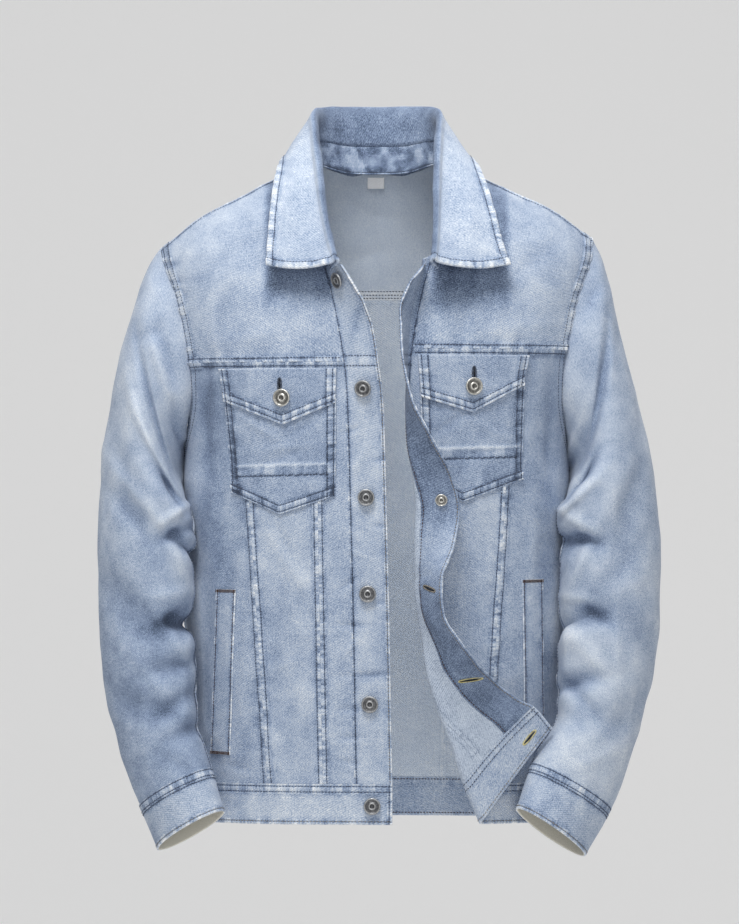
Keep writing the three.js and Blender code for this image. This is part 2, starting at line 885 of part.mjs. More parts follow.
function pocketPoint(side, shape, u, v) {
  const pointShare = (shape.point[0] - shape.inner[0]) / (shape.outer[0] - shape.inner[0]);
  const bottom = u < pointShare
    ? lerp(shape.inner[1], shape.point[1], u / pointShare)
    : lerp(shape.point[1], shape.outer[1], (u - pointShare) / (1 - pointShare));
  const innerS = lerp(shape.innerTop, shape.inner[0], v);
  const outerS = lerp(shape.outerTop, shape.outer[0], v);
  return bodyPoint(side, lerp(innerS, outerS, u), lerp(shape.top, bottom, v));
}

// Welts of the hand pockets: from the centre and height at the top and at the bottom
const welts = {
  right: { top: [148.4, 169.6, -467.5], bottom: [154.8, 176, -643.4] },
  left: { top: [152.6, 175, -457], bottom: [155.5, 177.5, -633] },
};

function addPockets(side) {
  const mirror = side === 'left';
  const { patch, flap } = pockets[side];
  wall({
    name: `pocket_${side}`,
    look: 'denim',
    columns: 9,
    rows: 5,
    thick: patchThick,
    lift: seamGap + patchThick,
    mirror,
    at: (u, v) => pocketPoint(side, patch, u, v),
  });
  wall({
    name: `pocket_flap_${side}`,
    look: 'denimPale',
    columns: 10,
    rows: 3,
    thick: flapThick,
    lift: 2 * seamGap + patchThick + flapThick,
    mirror,
    at: (u, v) => pocketPoint(side, flap, u, v),
  });
  const { top, bottom } = welts[side];
  wall({
    name: `welt_${side}`,
    look: 'denim',
    columns: 3,
    rows: 9,
    thick: weltThick,
    lift: seamGap + weltThick,
    mirror,
    at: (u, v) => {
      const s = lerp(lerp(top[0], top[1], u), lerp(bottom[0], bottom[1], u), v);
      return bodyPoint(side, s, lerp(top[2], bottom[2], v));
    },
  });
}

// Metal buttons: a post under a dished cap, turned about their own axis.
// The profile is given as radius and height.
const buttonProfile = [
  [0, 0],
  [4, 0],
  [4, 2.4],
  [buttonRadius, 3],
  [8.2, 4.8],
  [5.2, 4.2],
  [0, 4.4],
];

function addButton(name, base, out, scale = 1) {
  const profile = buttonProfile.map(([r, h]) => new THREE.Vector2(r * scale, h * scale));
  const geometry = new THREE.LatheGeometry(profile, 10);
  const mesh = new THREE.Mesh(geometry, new THREE.MeshStandardMaterial(looks.silver));
  mesh.name = name;
  mesh.quaternion.setFromUnitVectors(new THREE.Vector3(0, 1, 0), out);
  mesh.position.copy(base).addScaledVector(out, seamGap);
  jacket.add(mesh);
}

function facing(surface, s, z, side) {
  const step = 1;
  const across = surface(s + step, z).sub(surface(s - step, z));
  const up = surface(s, z + step).sub(surface(s, z - step));
  return across.cross(up).multiplyScalar(signs[side]).normalize();
}

function addButtonOn(name, side, s, z, lift, scale) {
  const surface = (a, b) => frontPoint(side, a, b);
  const out = facing(surface, s, z, side);
  addButton(name, surface(s, z).addScaledVector(out, lift), out, scale);
}

// Front buttons: height and distance from the placket seam towards the front edge
const frontButtons = [
  [-146, 22],
  [-256, 20],
  [-370, 19],
  [-471, 18],
  [-587, 18],
  [-694, 18],
];

function addButtons() {
  frontButtons.forEach(([z, inset], i) => {
    const lift = (z < frontWaistZ ? bandLift : placketLift) + (i === 0 ? seamGap : 0);
    addButtonOn(`front_button_${i + 1}`, 'right', frontSeams(z, 1) - inset, z, lift, 1);
  });
  for (const side of sides) {
    const [s, z] = pockets[side].button;
    const lift = 2 * seamGap + patchThick + flapThick;
    addButtonOn(`flap_button_${side}`, side, s, z, lift, 1.05);
  }
  const studZ = -372;
  const studS = frontSeams(studZ, 1) - 22;
  const surface = (a, b) => frontPoint('left', a, b);
  const inward = facing(surface, studS, studZ, 'left').negate();
  const backFace = surface(studS, studZ).addScaledVector(inward, placketThick - placketLift);
  addButton('placket_stud', backFace.addScaledVector(inward, seamGap), inward, 0.72);
  for (const side of sides) {
    const down = cuffStart + 26;
    const round = 262;
    const step = 4;
    const spot = sleevePoint(side, down, round);
    const along = sleevePoint(side, down + step, round).sub(spot);
    const around = sleevePoint(side, down, round + step).sub(spot);
    const out = along.cross(around).multiplyScalar(signs[side]).normalize();
    addButton(`cuff_button_${side}`, spot.addScaledVector(out, placketLift + 2 * seamGap), out, 0.9);
  }
}

// A blank woven label inside the back neck
function addLabel() {
  wall({
    name: 'neck_label',
    look: 'label',
    columns: 3,
    rows: 2,
    thick: 0.8,
    lift: -denim - seamGap,
    mirror: true,
    at: (u, v) => {
      const s = lerp(-10.5, 8.5, u);
      const side = s < 0 ? 'right' : 'left';
      return bodyPoint(side, Math.abs(s), lerp(-30, -20, v), true);
    },
  });
}

addBack();
for (const side of sides) {
  addFrontYoke(side);
  addFrontPanels(side);
  addSleeve(side);
  addPockets(side);
}
addCollar();
addButtons();
addLabel();

export default jacket;
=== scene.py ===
# A washed denim jacket, filled out as if worn, with one front turned back on itself.
# The cloth follows the same curves as the solids. Lengths are in millimetres until the meshes are made.
import math
import bpy
import numpy as np
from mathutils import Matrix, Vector


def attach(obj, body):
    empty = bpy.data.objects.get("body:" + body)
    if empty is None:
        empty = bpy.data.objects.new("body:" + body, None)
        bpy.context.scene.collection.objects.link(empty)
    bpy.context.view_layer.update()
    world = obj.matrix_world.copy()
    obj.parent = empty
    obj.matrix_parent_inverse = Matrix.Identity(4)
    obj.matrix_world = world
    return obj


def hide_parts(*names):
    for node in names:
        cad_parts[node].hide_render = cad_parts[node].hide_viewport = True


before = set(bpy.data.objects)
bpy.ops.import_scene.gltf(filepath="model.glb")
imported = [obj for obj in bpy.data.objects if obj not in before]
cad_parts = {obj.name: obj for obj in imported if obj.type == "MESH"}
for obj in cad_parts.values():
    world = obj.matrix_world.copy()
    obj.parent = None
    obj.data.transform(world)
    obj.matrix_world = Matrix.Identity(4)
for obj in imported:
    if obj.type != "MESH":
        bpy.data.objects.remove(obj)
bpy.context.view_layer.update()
print("frame loaded")

# Camera: straight from the front, level with the middle of the jacket
camera = {"place": (-0.008, -4.58, -0.333), "lens": 165.4, "sensor": 36}
cameraData = bpy.data.cameras.new("camera")
cameraData.lens = camera["lens"]
cameraData.sensor_width = camera["sensor"]
cameraData.clip_end = 50
cameraObject = bpy.data.objects.new("camera", cameraData)
cameraObject.location = camera["place"]
cameraObject.rotation_euler = (math.pi / 2, 0, 0)
bpy.context.scene.collection.objects.link(cameraObject)
bpy.context.scene.camera = cameraObject
bpy.context.scene.view_settings.view_transform = "Standard"

# Sizes of the cut
cut = {
    "denim": 1.3,
    "double": 2.2,            # placket, cuff, flap and collar
    "doubleLift": 0.6,
    "placketWidth": 40,
    "placketTop": (-137, -114),
    "bandHeight": 43,
    "bandThick": 2.6,
    "bandLift": 1,
    "frontWaist": -671,
    "backDrop": 10,
    "yokeSeam": {-1: -228, 1: -214},
    "backYokeSeam": -154,
    "shoulderStart": -235,
    "shoulderHalf": 231,
    "leftShoulderLift": 11,
    "underarm": -333,
    "bodyPower": 2.2,
    "shoulderPower": 2.2,
    "seamForward": 100.4,
    "cuffStart": 650,
    "cuffEnd": 702,
    "gap": 0.06,              # panels meet at their seams
}
sideStop = math.pi / 2 - 0.0005
right, left = -1, 1
sideName = {right: "right", left: "left"}


def mix(a, b, t):
    return a + (b - a) * t


def ease(x, low, high):
    t = np.clip((x - low) / (high - low), 0, 1)
    return t * t * (3 - 2 * t)


def readTable(rows):
    rows = np.array(rows, float)
    keys = rows[:, 0]
    steps = np.diff(rows, axis=0) / np.diff(keys)[:, None]
    before, after = steps[:-1], steps[1:]
    total = np.where(before + after == 0, 1, before + after)
    inner = np.where(before * after <= 0, 0, 2 * before * after / total)
    slopes = np.concatenate([steps[:1], inner, steps[-1:]])

    def curve(key, column=1):
        at = np.clip(key, keys[0], keys[-1])
        i = np.searchsorted(keys[1:-1], at, side="left")
        span = keys[i + 1] - keys[i]
        t = (at - keys[i]) / span
        a, b = rows[i, column], rows[i + 1, column]
        slopeA, slopeB = slopes[i, column] * span, slopes[i + 1, column] * span
        return (
            a * (2 * t**3 - 3 * t**2 + 1)
            + slopeA * (t**3 - 2 * t**2 + t)
            + b * (3 * t**2 - 2 * t**3)
            + slopeB * (t**3 - t**2)
        )

    return curve


# z, half width, depth to the front, depth to the back
bodyShape = readTable([
    (-730, 194.5, 124, 120),
    (-671, 196.5, 125, 121),
    (-600, 198.5, 128, 123),
    (-500, 200, 132, 126),
    (-400, 202, 136, 128),
    (-325, 205, 138, 129),
    (-267, 211, 139, 129),
    (-219, 219, 138, 129),
    (-161, 229, 135, 129),
    (-105, 243, 131, 129),
    (60, 243, 131, 129),
])
# height of the shoulder ridge at a distance from the centre
ridgeShape = readTable([
    (0, 38), (40, 20), (60, 6), (76, -9), (92, -19), (115, -30), (148, -47), (191, -70),
    (231, -103), (260, -130),
])
# z, angle of the armhole round the body at the front and at the back
armhole = readTable([
    (-333, 90, 90), (-322, 84, 84.5), (-299, 75.5, 80), (-267, 69, 76), (-219, 65.3, 73),
    (-161, 67.2, 72.5), (-103, 71.2, 71.2),
])
# z, distance from the centre of the placket seam, the inner and the outer panel seam
frontSeams = readTable([
    (-720, 22, 55.5, 112),
    (-665, 24, 57, 115.5),
    (-500, 27, 60, 126),
    (-378, 30, 62, 134),
    (-260, 33.5, 63, 140),
    (-228, 36.5, 63.5, 142),
    (-190, 42, 64, 144),
    (-151, 50, 65, 146),
    (-110, 60.5, 66, 148),
    (-88, 64.5, 70, 150),
    (-48, 72, 75, 150),
    (-14, 75.6, 80, 150),
])
backSeam = readTable([(-720, 72), (-500, 79), (-154, 98)])
# z, where the front turns, degrees, slant of the turn line, radius
frontTurns = {
    right: readTable([
        (-714, 24, 0, 0, 6),
        (-290, 33, 0, 0, 6),
        (-234, 35.5, 13, 0, 6),
        (-196, 41, 16, 0, 6),
        (-172, 45.5, 30, 0, 6),
        (-157, 48.5, 43, 0, 6),
        (-140, 53, 58, 0, 6),
        (-118, 58, 76, 0, 6),
    ]),
    left: readTable([
        (-760, 134, 172, 28, 6.5),
        (-714, 114, 172, 28, 6.5),
        (-660, 92, 172, 28, 6.5),
        (-627, 82, 172, 26, 6.5),
        (-600, 71, 172, 20, 6),
        (-575, 63, 168, 13, 6),
        (-550, 57, 150, 8, 6),
        (-515, 52, 124, 4, 5.5),
        (-490, 48, 114, 2, 5.5),
        (-450, 45, 120, 0, 5.5),
        (-415, 45, 150, 0, 5.5),
        (-380, 46, 172, 0, 5.5),
        (-350, 43, 166, 0, 5.5),
        (-310, 38, 130, 0, 5.5),
        (-265, 36, 92, 0, 5.5),
        (-230, 36, 79, 0, 5.5),
        (-191, 38, 68, 0, 5.5),
        (-173, 41.5, 61, 0, 5.5),
        (-156, 46, 67, 0, 5.5),
        (-140, 50, 83, 0, 5.5),
        (-118, 54, 101, 0, 5.5),
    ]),
}
# soft folds of the body: side, distance from the centre, z, heading, half length, half width, depth
bodyFolds = [
    (right, 176, -330, 84, 70, 15, 5),
    (right, 148, -400, 96, 60, 16, 3),
    (left, 180, -335, 96, 70, 15, 4.5),
    (right, 95, -160, 62, 60, 22, 3),
    (left, 98, -165, 118, 60, 20, 3),
]


def foldDepth(across, along, heading, halfLength, halfWidth, depth):
    turn = math.radians(heading)
    length = across * math.cos(turn) + along * math.sin(turn)
    width = along * math.cos(turn) - across * math.sin(turn)
    return depth * np.exp(-((length / halfLength) ** 2) - (width / halfWidth) ** 2)


def angleAt(s, z):
    share = np.minimum(np.abs(s) / bodyShape(z, 1), 1)
    return np.sign(s) * np.arcsin(share ** (cut["bodyPower"] / 2))


def sidewaysAt(angle, z):
    share = np.abs(np.sin(angle)) ** (2 / cut["bodyPower"])
    return np.sign(angle) * share * bodyShape(z, 1)


def ridgeHeight(sign, s):
    lift = np.where(np.asarray(sign) > 0, cut["leftShoulderLift"], 0)
    return ridgeShape(np.abs(s)) + lift * (s / cut["shoulderHalf"]) ** 2


def riseAt(sign, s, z):
    whole = ridgeHeight(sign, s) - cut["shoulderStart"]
    return np.clip((z - cut["shoulderStart"]) / whole, 0, 1)


def heightAt(sign, s, over):
    rise = np.sin(np.radians(over)) ** (2 / cut["shoulderPower"])
    return cut["shoulderStart"] + (ridgeHeight(sign, s) - cut["shoulderStart"]) * rise


def overAt(sign, s, z):
    return np.degrees(np.arcsin(riseAt(sign, s, z) ** (cut["shoulderPower"] / 2)))


def bodyPoint(sign, s, z, back=False):
    s, z, sign, back = np.broadcast_arrays(s, z, sign, back)
    share = np.minimum(np.abs(s) / bodyShape(z, 1), 1)
    full = (1 - share ** cut["bodyPower"]) ** (1 / cut["bodyPower"])
    lean = np.sqrt(1 - riseAt(sign, s, z) ** cut["shoulderPower"])
    y = np.where(back, bodyShape(z, 3), -bodyShape(z, 2)) * full * lean
    for foldSide, foldS, foldZ, *size in bodyFolds:
        pressed = foldDepth(s - foldS, z - foldZ, *size) * full
        y = y + np.where(~back & (sign == foldSide), pressed, 0)
    return np.stack([sign * s, y, z], axis=-1)


def unit(v):
    return v / np.maximum(np.linalg.norm(v, axis=-1, keepdims=True), 1e-9)


def frontPoint(sign, s, z):
    turns = frontTurns[sign]
    s, z = np.broadcast_arrays(np.asarray(s, float), np.asarray(z, float))
    footZ = z
    for _ in range(8):
        slant = np.radians(turns(footZ, 3))
        past = (turns(footZ, 1) - s) / np.cos(slant)
        footZ = z + past * np.sin(slant)
    step = 0.5
    footS = turns(footZ, 1)
    foot = bodyPoint(sign, footS, footZ)
    ahead = bodyPoint(sign, footS - step * np.cos(slant), footZ - step * np.sin(slant))
    along = bodyPoint(sign, footS - step * np.sin(slant), footZ + step * np.cos(slant))
    flat = unit(ahead - foot)
    out = unit(np.cross(along - foot, flat) * sign)
    radius = turns(footZ, 4)
    bend = np.minimum(np.maximum(past, 0), radius * np.radians(turns(footZ, 2)))
    rest = np.maximum(past, 0) - bend
    angle = bend / radius
    inPlane = radius * np.sin(angle) + rest * np.cos(angle)
    outward = radius * (1 - np.cos(angle)) + rest * np.sin(angle)
    rolled = foot + flat * inPlane[..., None] + out * outward[..., None]
    return np.where(past[..., None] <= 0, bodyPoint(sign, s, z), rolled)


def waistZ(s, back=False):
    share = (angleAt(np.abs(s), cut["frontWaist"]) / (math.pi / 2)) ** 2
    if back:
        return cut["frontWaist"] - cut["backDrop"] * (1 - share / 2)
    return cut["frontWaist"] - cut["backDrop"] * share / 2


def sideEdge(z, back=False):
    angle = np.where(back, armhole(z, 2), armhole(z, 1))
    angle = np.minimum(np.radians(angle), sideStop)
    return np.where(z <= cut["underarm"], sideStop, angle)


def panelPoint(u, v, topZ, place, surface, back):
    guess = mix(topZ, cut["frontWaist"], v)
    bottomZ = waistZ(place(u, guess), back) + cut["gap"]
    z = mix(topZ, bottomZ, v)
    return surface(place(u, z), z)


def frontPanel(sign, inner, outer):
    def place(u, z):
        start = angleAt(frontSeams(z, inner) + cut["gap"] / 2, z)
        stop = angleAt(frontSeams(z, outer) - cut["gap"] / 2, z) if outer else sideEdge(z)
        return sidewaysAt(mix(start, stop, u), z)

    topZ = cut["yokeSeam"][sign] - cut["gap"] / 2
    return lambda u, v: panelPoint(
        u, v, topZ, place, lambda s, z: frontPoint(sign, s, z), False
    )


def placketSheet(sign):
    def at(u, v):
        z = mix(mix(*cut["placketTop"], u), cut["frontWaist"] + cut["gap"], v)
        s = frontSeams(z, 1) - cut["gap"] / 2 - cut["placketWidth"] * (1 - u)
        return frontPoint(sign, s, z)

    return at


def waistbandSheet(sign):
    waist = cut["frontWaist"]
    start = angleAt(frontSeams(waist, 1) - cut["placketWidth"], waist)

    def at(u, v):
        angle = mix(start, sideStop, u)
        z = waistZ(sidewaysAt(angle, waist)) - cut["gap"] - (cut["bandHeight"] - cut["gap"]) * v
        return frontPoint(sign, sidewaysAt(angle, z), z)

    return at


def frontYokeSheet(sign):
    bottomZ = cut["yokeSeam"][sign] + cut["gap"] / 2
    topZ = ridgeHeight(sign, cut["shoulderHalf"])

    def at(u, v):
        z = mix(bottomZ, -60, v)
        s = 100 + 0 * u
        for _ in range(12):
            low = np.minimum(z, topZ)
            s = mix(frontSeams(z, 1) + cut["gap"] / 2, sidewaysAt(sideEdge(low), low), u)
            z = heightAt(sign, s, mix(overAt(sign, s, bottomZ), 180 - cut["seamForward"], v))
        return frontPoint(sign, s, z)

    return at


# neckline of the back yoke: share of the way to the shoulder, distance, degrees over
backNeck = readTable([
    (0, 0, 52.5), (0.3, 24, 53.6), (0.55, 44, 59), (0.75, 60, 68), (0.9, 71, 83),
    (1, 75.6, 100.4),
])
neckShare = 0.4


def backYokeSheet(u, v):
    way = 2 * u - 1
    sign = np.where(way < 0, right, left)
    size = np.abs(way)
    inNeck = np.minimum(size / neckShare, 1)
    past = np.maximum(size - neckShare, 0) / (1 - neckShare)
    topOver = backNeck(inNeck, 2)
    innerS = mix(75 * inNeck, backNeck(inNeck, 1), v)
    s = innerS
    for _ in range(8):
        over = mix(overAt(sign, s, cut["backYokeSeam"] + cut["gap"] / 2), topOver, v)
        edge = cut["shoulderHalf"] + 0 * s
        for _ in range(16):
            z = np.minimum(heightAt(sign, edge, over), ridgeHeight(sign, cut["shoulderHalf"]))
            edge = sidewaysAt(sideEdge(z, over < 90), z)
        s = np.where(past > 0, mix(innerS, edge, past), innerS)
    return bodyPoint(sign, s, heightAt(sign, s, over), over < 90)


backTop = cut["backYokeSeam"] - cut["gap"] / 2


def backCenterSheet(u, v):
    way = 2 * u - 1
    sign = np.where(way < 0, right, left)
    return panelPoint(
        u, v, backTop,
        lambda share, z: np.abs(way) * (backSeam(z) - cut["gap"] / 2),
        lambda s, z: bodyPoint(sign, s, z, True), True,
    )


def backSideSheet(sign):
    def place(u, z):
        start = angleAt(backSeam(z) + cut["gap"] / 2, z)
        return sidewaysAt(mix(start, sideEdge(z, True), u), z)

    return lambda u, v: panelPoint(
        u, v, backTop, place, lambda s, z: bodyPoint(sign, s, z, True), True
    )


def backBandSheet(u, v):
    angle = mix(-sideStop, sideStop, u)
    sign = np.where(angle < 0, right, left)
    seam = waistZ(sidewaysAt(np.abs(angle), cut["frontWaist"]), True)
    z = seam - cut["gap"] - (cut["bandHeight"] - cut["gap"]) * v
    return bodyPoint(sign, sidewaysAt(np.abs(angle), z), z, True)


# mm down the sleeve, outer edge (out, y, z), inner edge (out, y, z), half depth, drop of the back
sleeveRings = {
    right: readTable([
        (0, 231, 0, -103, 205, 0, -333, 62, 0),
        (50, 245, -2, -124, 209, -4, -345, 67, 0),
        (130, 266, -6, -180, 211, -12, -357, 69, 3),
        (210, 284, -12, -262, 206, -34, -374, 67, 5),
        (300, 297, -20, -345, 196, -62, -402, 62, 6),
        (375, 300, -28, -420, 196, -64, -446, 60, 7),
        (445, 299, -36, -490, 195, -66, -505, 58, 8),
        (515, 293, -48, -560, 194, -70, -555, 55, 9),
        (590, 276, -64, -635, 189, -84, -614, 49, 11),
        (650, 251, -82, -697, 175, -100, -657, 43, 13),
        (704, 231, -96, -744, 160, -114, -703, 41, 14),
    ]),
    left: readTable([
        (0, 231, 0, -92, 205, 0, -333, 62, 0),
        (50, 243, -2, -116, 209, -4, -344, 67, 0),
        (130, 261, -6, -186, 211, -12, -354, 69, 3),
        (210, 280, -12, -265, 206, -34, -368, 67, 5),
        (300, 297, -20, -345, 195, -62, -390, 62, 6),
        (375, 304, -28, -423, 196, -64, -440, 60, 7),
        (445, 304, -36, -490, 196, -66, -500, 58, 8),
        (515, 296, -46, -560, 193, -70, -548, 55, 9),
        (590, 277, -62, -628, 191, -84, -600, 49, 11),
        (650, 247, -86, -700, 163, -106, -651, 44, 13),
        (704, 218, -102, -750, 146, -122, -700, 42, 14),
    ]),
}
# folds of the sleeves, the large ones as in the solids:
# mm down, degrees round (0 outer, 90 front, 180 inner), heading, half length, half width, depth
sleeveFolds = {
    right: [
        (150, 100, 28, 46, 13, 9),
        (245, 128, 62, 34, 13, 13),
        (205, 104, 30, 52, 12, -6),
        (352, 164, 16, 44, 15, 12),
        (300, 70, 70, 60, 18, 5),
        (452, 164, -12, 52, 17, 17),
        (440, 60, 40, 60, 20, 5),
        (512, 132, -18, 48, 12, 7),
        (560, 80, 20, 50, 15, 6),
        (595, 142, -10, 44, 12, 8),
        (470, 262, 10, 60, 16, 6),
        (330, 250, -15, 60, 16, 6),
        (560, 300, 14, 52, 14, 5),
    ],
    left: [
        (120, 78, 40, 40, 14, 8),
        (240, 132, 60, 34, 14, 15),
        (290, 150, 30, 40, 12, -7),
        (352, 158, -14, 46, 16, 13),
        (340, 70, 66, 60, 18, 5),
        (456, 158, 10, 50, 16, 14),
        (470, 66, -30, 60, 18, 5),
        (545, 140, 16, 46, 13, 11),
        (590, 92, 10, 50, 15, 5),
        (460, 264, -10, 60, 16, 6),
        (320, 252, 15, 60, 16, 6),
        (560, 300, -14, 52, 14, 5),
    ],
}
sleeveRadius = 55


def armholePoint(sign, turn):
    share = (1 + np.cos(turn)) / 2
    z = mix(cut["underarm"], ridgeHeight(sign, cut["shoulderHalf"]), share)
    back = np.sin(turn) < 0
    point = bodyPoint(sign, sidewaysAt(sideEdge(z, back), z), z, back)
    gap = 0.75 * (1 + np.cos(turn) ** 2 + 0.8 * np.maximum(-np.cos(turn), 0))
    point[..., 0] += sign * gap
    return point


def ringPoint(sign, down, turn):
    ring = sleeveRings[sign]
    outer = np.stack([sign * ring(down, 1), ring(down, 2), ring(down, 3)], axis=-1)
    inner = np.stack([sign * ring(down, 4), ring(down, 5), ring(down, 6)], axis=-1)
    drop = np.radians(ring(down, 8))
    depth = np.stack([0 * drop, -np.cos(drop), np.sin(drop)], axis=-1) * ring(down, 7)[..., None]
    middle = (outer + inner) / 2
    return middle + (outer - inner) * np.cos(turn)[..., None] / 2 + depth * np.sin(turn)[..., None]


def plainSleevePoint(sign, down, turn):
    reach = (1 - ease(down, 0, 110))[..., None]
    seam = armholePoint(sign, turn) - ringPoint(sign, 0 * down, turn)
    return ringPoint(sign, down, turn) + seam * reach


def sleevePoint(sign, down, around):
    down, around = np.broadcast_arrays(np.asarray(down, float), np.asarray(around, float))
    turn = np.radians(around)
    point = plainSleevePoint(sign, down, turn)
    middle = (plainSleevePoint(sign, down, turn + math.pi) + point) / 2
    press = 0 * down
    for foldDown, foldRound, *size in sleeveFolds[sign]:
        away = (around - foldRound + 540) % 360 - 180
        press = press + foldDepth(np.radians(away) * sleeveRadius, down - foldDown, *size)
    press = press * ease(down, 10, 60) * (1 - ease(down, cut["cuffStart"] - 40, cut["cuffStart"]))
    return point + unit(middle - point) * press[..., None]


def sleeveSheet(sign, start, stop):
    return lambda u, v: sleevePoint(sign, (cut["cuffStart"] - cut["gap"]) * v, mix(start, stop, u))


def cuffSheet(sign):
    return lambda u, v: sleevePoint(sign, mix(cut["cuffStart"] + cut["gap"], cut["cuffEnd"], v), 360 * u)


def throughPoints(points, t):
    # a centripetal curve through the points, read at t from 0 to 1
    first = 2 * points[..., :1, :] - points[..., 1:2, :]
    last = 2 * points[..., -1:, :] - points[..., -2:-1, :]
    count = points.shape[-2]
    points = np.concatenate([first, points, last], axis=-2)
    place = t * (count - 1)
    i = np.minimum(np.floor(place).astype(int), count - 2)
    w = (place - i)[..., None]
    points = np.broadcast_to(points, t.shape + points.shape[-2:])
    p0, p1, p2, p3 = [
        np.take_along_axis(points, (i + k)[..., None, None], axis=-2)[..., 0, :] for k in range(4)
    ]
    d0, d1, d2 = [
        np.maximum(np.linalg.norm(b - a, axis=-1, keepdims=True) ** 0.5, 1e-4)
        for a, b in ((p0, p1), (p1, p2), (p2, p3))
    ]
    t1 = ((p1 - p0) / d0 - (p2 - p0) / (d0 + d1) + (p2 - p1) / d1) * d1
    t2 = ((p2 - p1) / d1 - (p3 - p1) / (d1 + d2) + (p3 - p2) / d2) * d1
    return (
        p1 + t1 * w + (-3 * p1 + 3 * p2 - 2 * t1 - t2) * w**2
        + (2 * p1 - 2 * p2 + t1 + t2) * w**3
    )


collar = {
    "thick": 2.2,
    "rollHalf": 4.2,
    "rollDrop": 6.5,
    "start": 2.1,
    "standShare": 0.42,
    "clearance": 3.2,
    "endSag": 5,
    "rollRight": [(-43.5, -158, -123), (-50, -137, -99), (-57, -110, -64), (-62, -74, -24),
                  (-67, -22, 20), (-68.5, 28, 47), (-58, 66, 54), (-32, 88, 56)],
    "rollCenter": (0, 95, 56.5),
    "rollLeft": [(59.5, -158, -122), (62, -136, -98), (63.5, -110, -66), (64.5, -74, -24),
                 (67, -22, 20), (68.5, 28, 47), (58, 66, 54), (32, 88, 56)],
    "edgeRight": [(-116, -126, -127), (-115.5, -112, -103), (-113, -89, -68), (-109, -58, -32),
                  (-104, -20, -13), (-96, 34, -9), (-72, 78, -16), (-38, 100, -21)],
    "edgeCenter": (0, 108, -22),
    "edgeLeft": [(140, -118, -126), (132, -107, -101), (124, -86, -64), (114, -54, -30),
                 (106, -20, -13), (96, 34, -9), (72, 78, -16), (38, 100, -21)],
    "neck": [(62.5, -98, False), (67.5, -72, False), (73, -42, False), (76, -15, False),
             (75, -9, True), (60, -8, True), (32, -14, True)],
    "neckEnds": {right: (-47, -149, -130.5), left: (62, -149, -129.5)},
}


def neckLine():
    sidesOf = {}
    for sign in (right, left):
        lift = cut["leftShoulderLift"] if sign > 0 else 0
        spots = [
            bodyPoint(sign, s, z + lift * (s / cut["shoulderHalf"]) ** 2, back)
            for s, z, back in collar["neck"]
        ]
        sidesOf[sign] = [np.array(collar["neckEnds"][sign], float)] + spots
    return np.array(sidesOf[right] + [bodyPoint(left, 0, -14.5, True)] + sidesOf[left][::-1])


neckCurve = neckLine()
rollCurve = np.array(collar["rollRight"] + [collar["rollCenter"]] + collar["rollLeft"][::-1], float)
edgeCurve = np.array(collar["edgeRight"] + [collar["edgeCenter"]] + collar["edgeLeft"][::-1], float)


def clearOfBody(point, margin):
    s = np.abs(point[..., 0])
    share = np.minimum(s / bodyShape(point[..., 2], 1), 1)
    full = (1 - share ** cut["bodyPower"]) ** (1 / cut["bodyPower"])
    depths = np.where(point[..., 1] > 0, bodyShape(point[..., 2], 3), bodyShape(point[..., 2], 2))
    height = ridgeHeight(np.where(point[..., 0] > 0, 1, -1), s) - cut["shoulderStart"]
    up = np.maximum(point[..., 2] - cut["shoulderStart"], 0)
    reach = np.sqrt((point[..., 1] / (depths * full)) ** 2 + (up / height) ** cut["shoulderPower"])
    wanted = 1 + margin / np.hypot(point[..., 1], up)
    grow = np.where(reach >= wanted, 1, wanted / reach)
    return np.stack(
        [point[..., 0], point[..., 1] * grow, np.where(reach >= wanted, point[..., 2],
                                                        cut["shoulderStart"] + up * grow)], axis=-1)


def collarParts(u):
    foot, top, end = [throughPoints(curve, u) for curve in (neckCurve, rollCurve, edgeCurve)]
    away = end - top
    away[..., 2] = 0
    away = unit(away)
    tight = mix(1, 0.4, np.abs(2 * u - 1) ** 4)
    half = (collar["rollHalf"] * np.sqrt(tight))[..., None]
    drop = np.stack([0 * u, 0 * u, -collar["rollDrop"] * tight], axis=-1)
    return foot, top - away * half + drop, top, top + away * half + drop, end, away


def standPoint(u, share, extra):
    foot, inner = collarParts(u)[:2]
    up = inner - foot
    return foot + up * (share + extra / np.linalg.norm(up, axis=-1))[..., None]


def standSheet(u, v):
    # the visual stand reaches down behind the neck seam, so no light comes through there
    return standPoint(u, collar["standShare"] * v, mix(-3.5, -0.2, v))


def leafSheet(u, v):
    foot, inner, top, outer, end, away = collarParts(u)
    start = standPoint(u, collar["standShare"] + 0 * u, 0)
    belly = (outer + end) / 2 + away * 3
    belly[..., 2] -= collar["endSag"] * np.abs(2 * u - 1) ** 8
    clearance = collar["clearance"]
    fall = [clearOfBody(point, clearance + collar["thick"]) for point in (belly, end)]
    point = throughPoints(np.stack([start, inner, top, outer, *fall], axis=-2), v)
    pushed = clearOfBody(point, clearance + collar["thick"] - cut["denim"])
    return np.where(v[..., None] > 0.6, pushed, point)


pockets = {
    right: {
        "patch": (-240, 42.5, 163.5, (43.5, -368), (152.6, -365), (102, -388)),
        "flap": (-234.5, 42.5, 164.5, (43.5, -271), (159, -269), (98.6, -294)),
        "button": (98, -265.5),
    },
    left: {
        "patch": (-226, 43, 156, (49, -352), (152.6, -351), (89, -375)),
        "flap": (-220.5, 42, 158.5, (45.6, -265), (152.6, -252), (99.6, -281)),
        "button": (99.4, -253.5),
    },
}


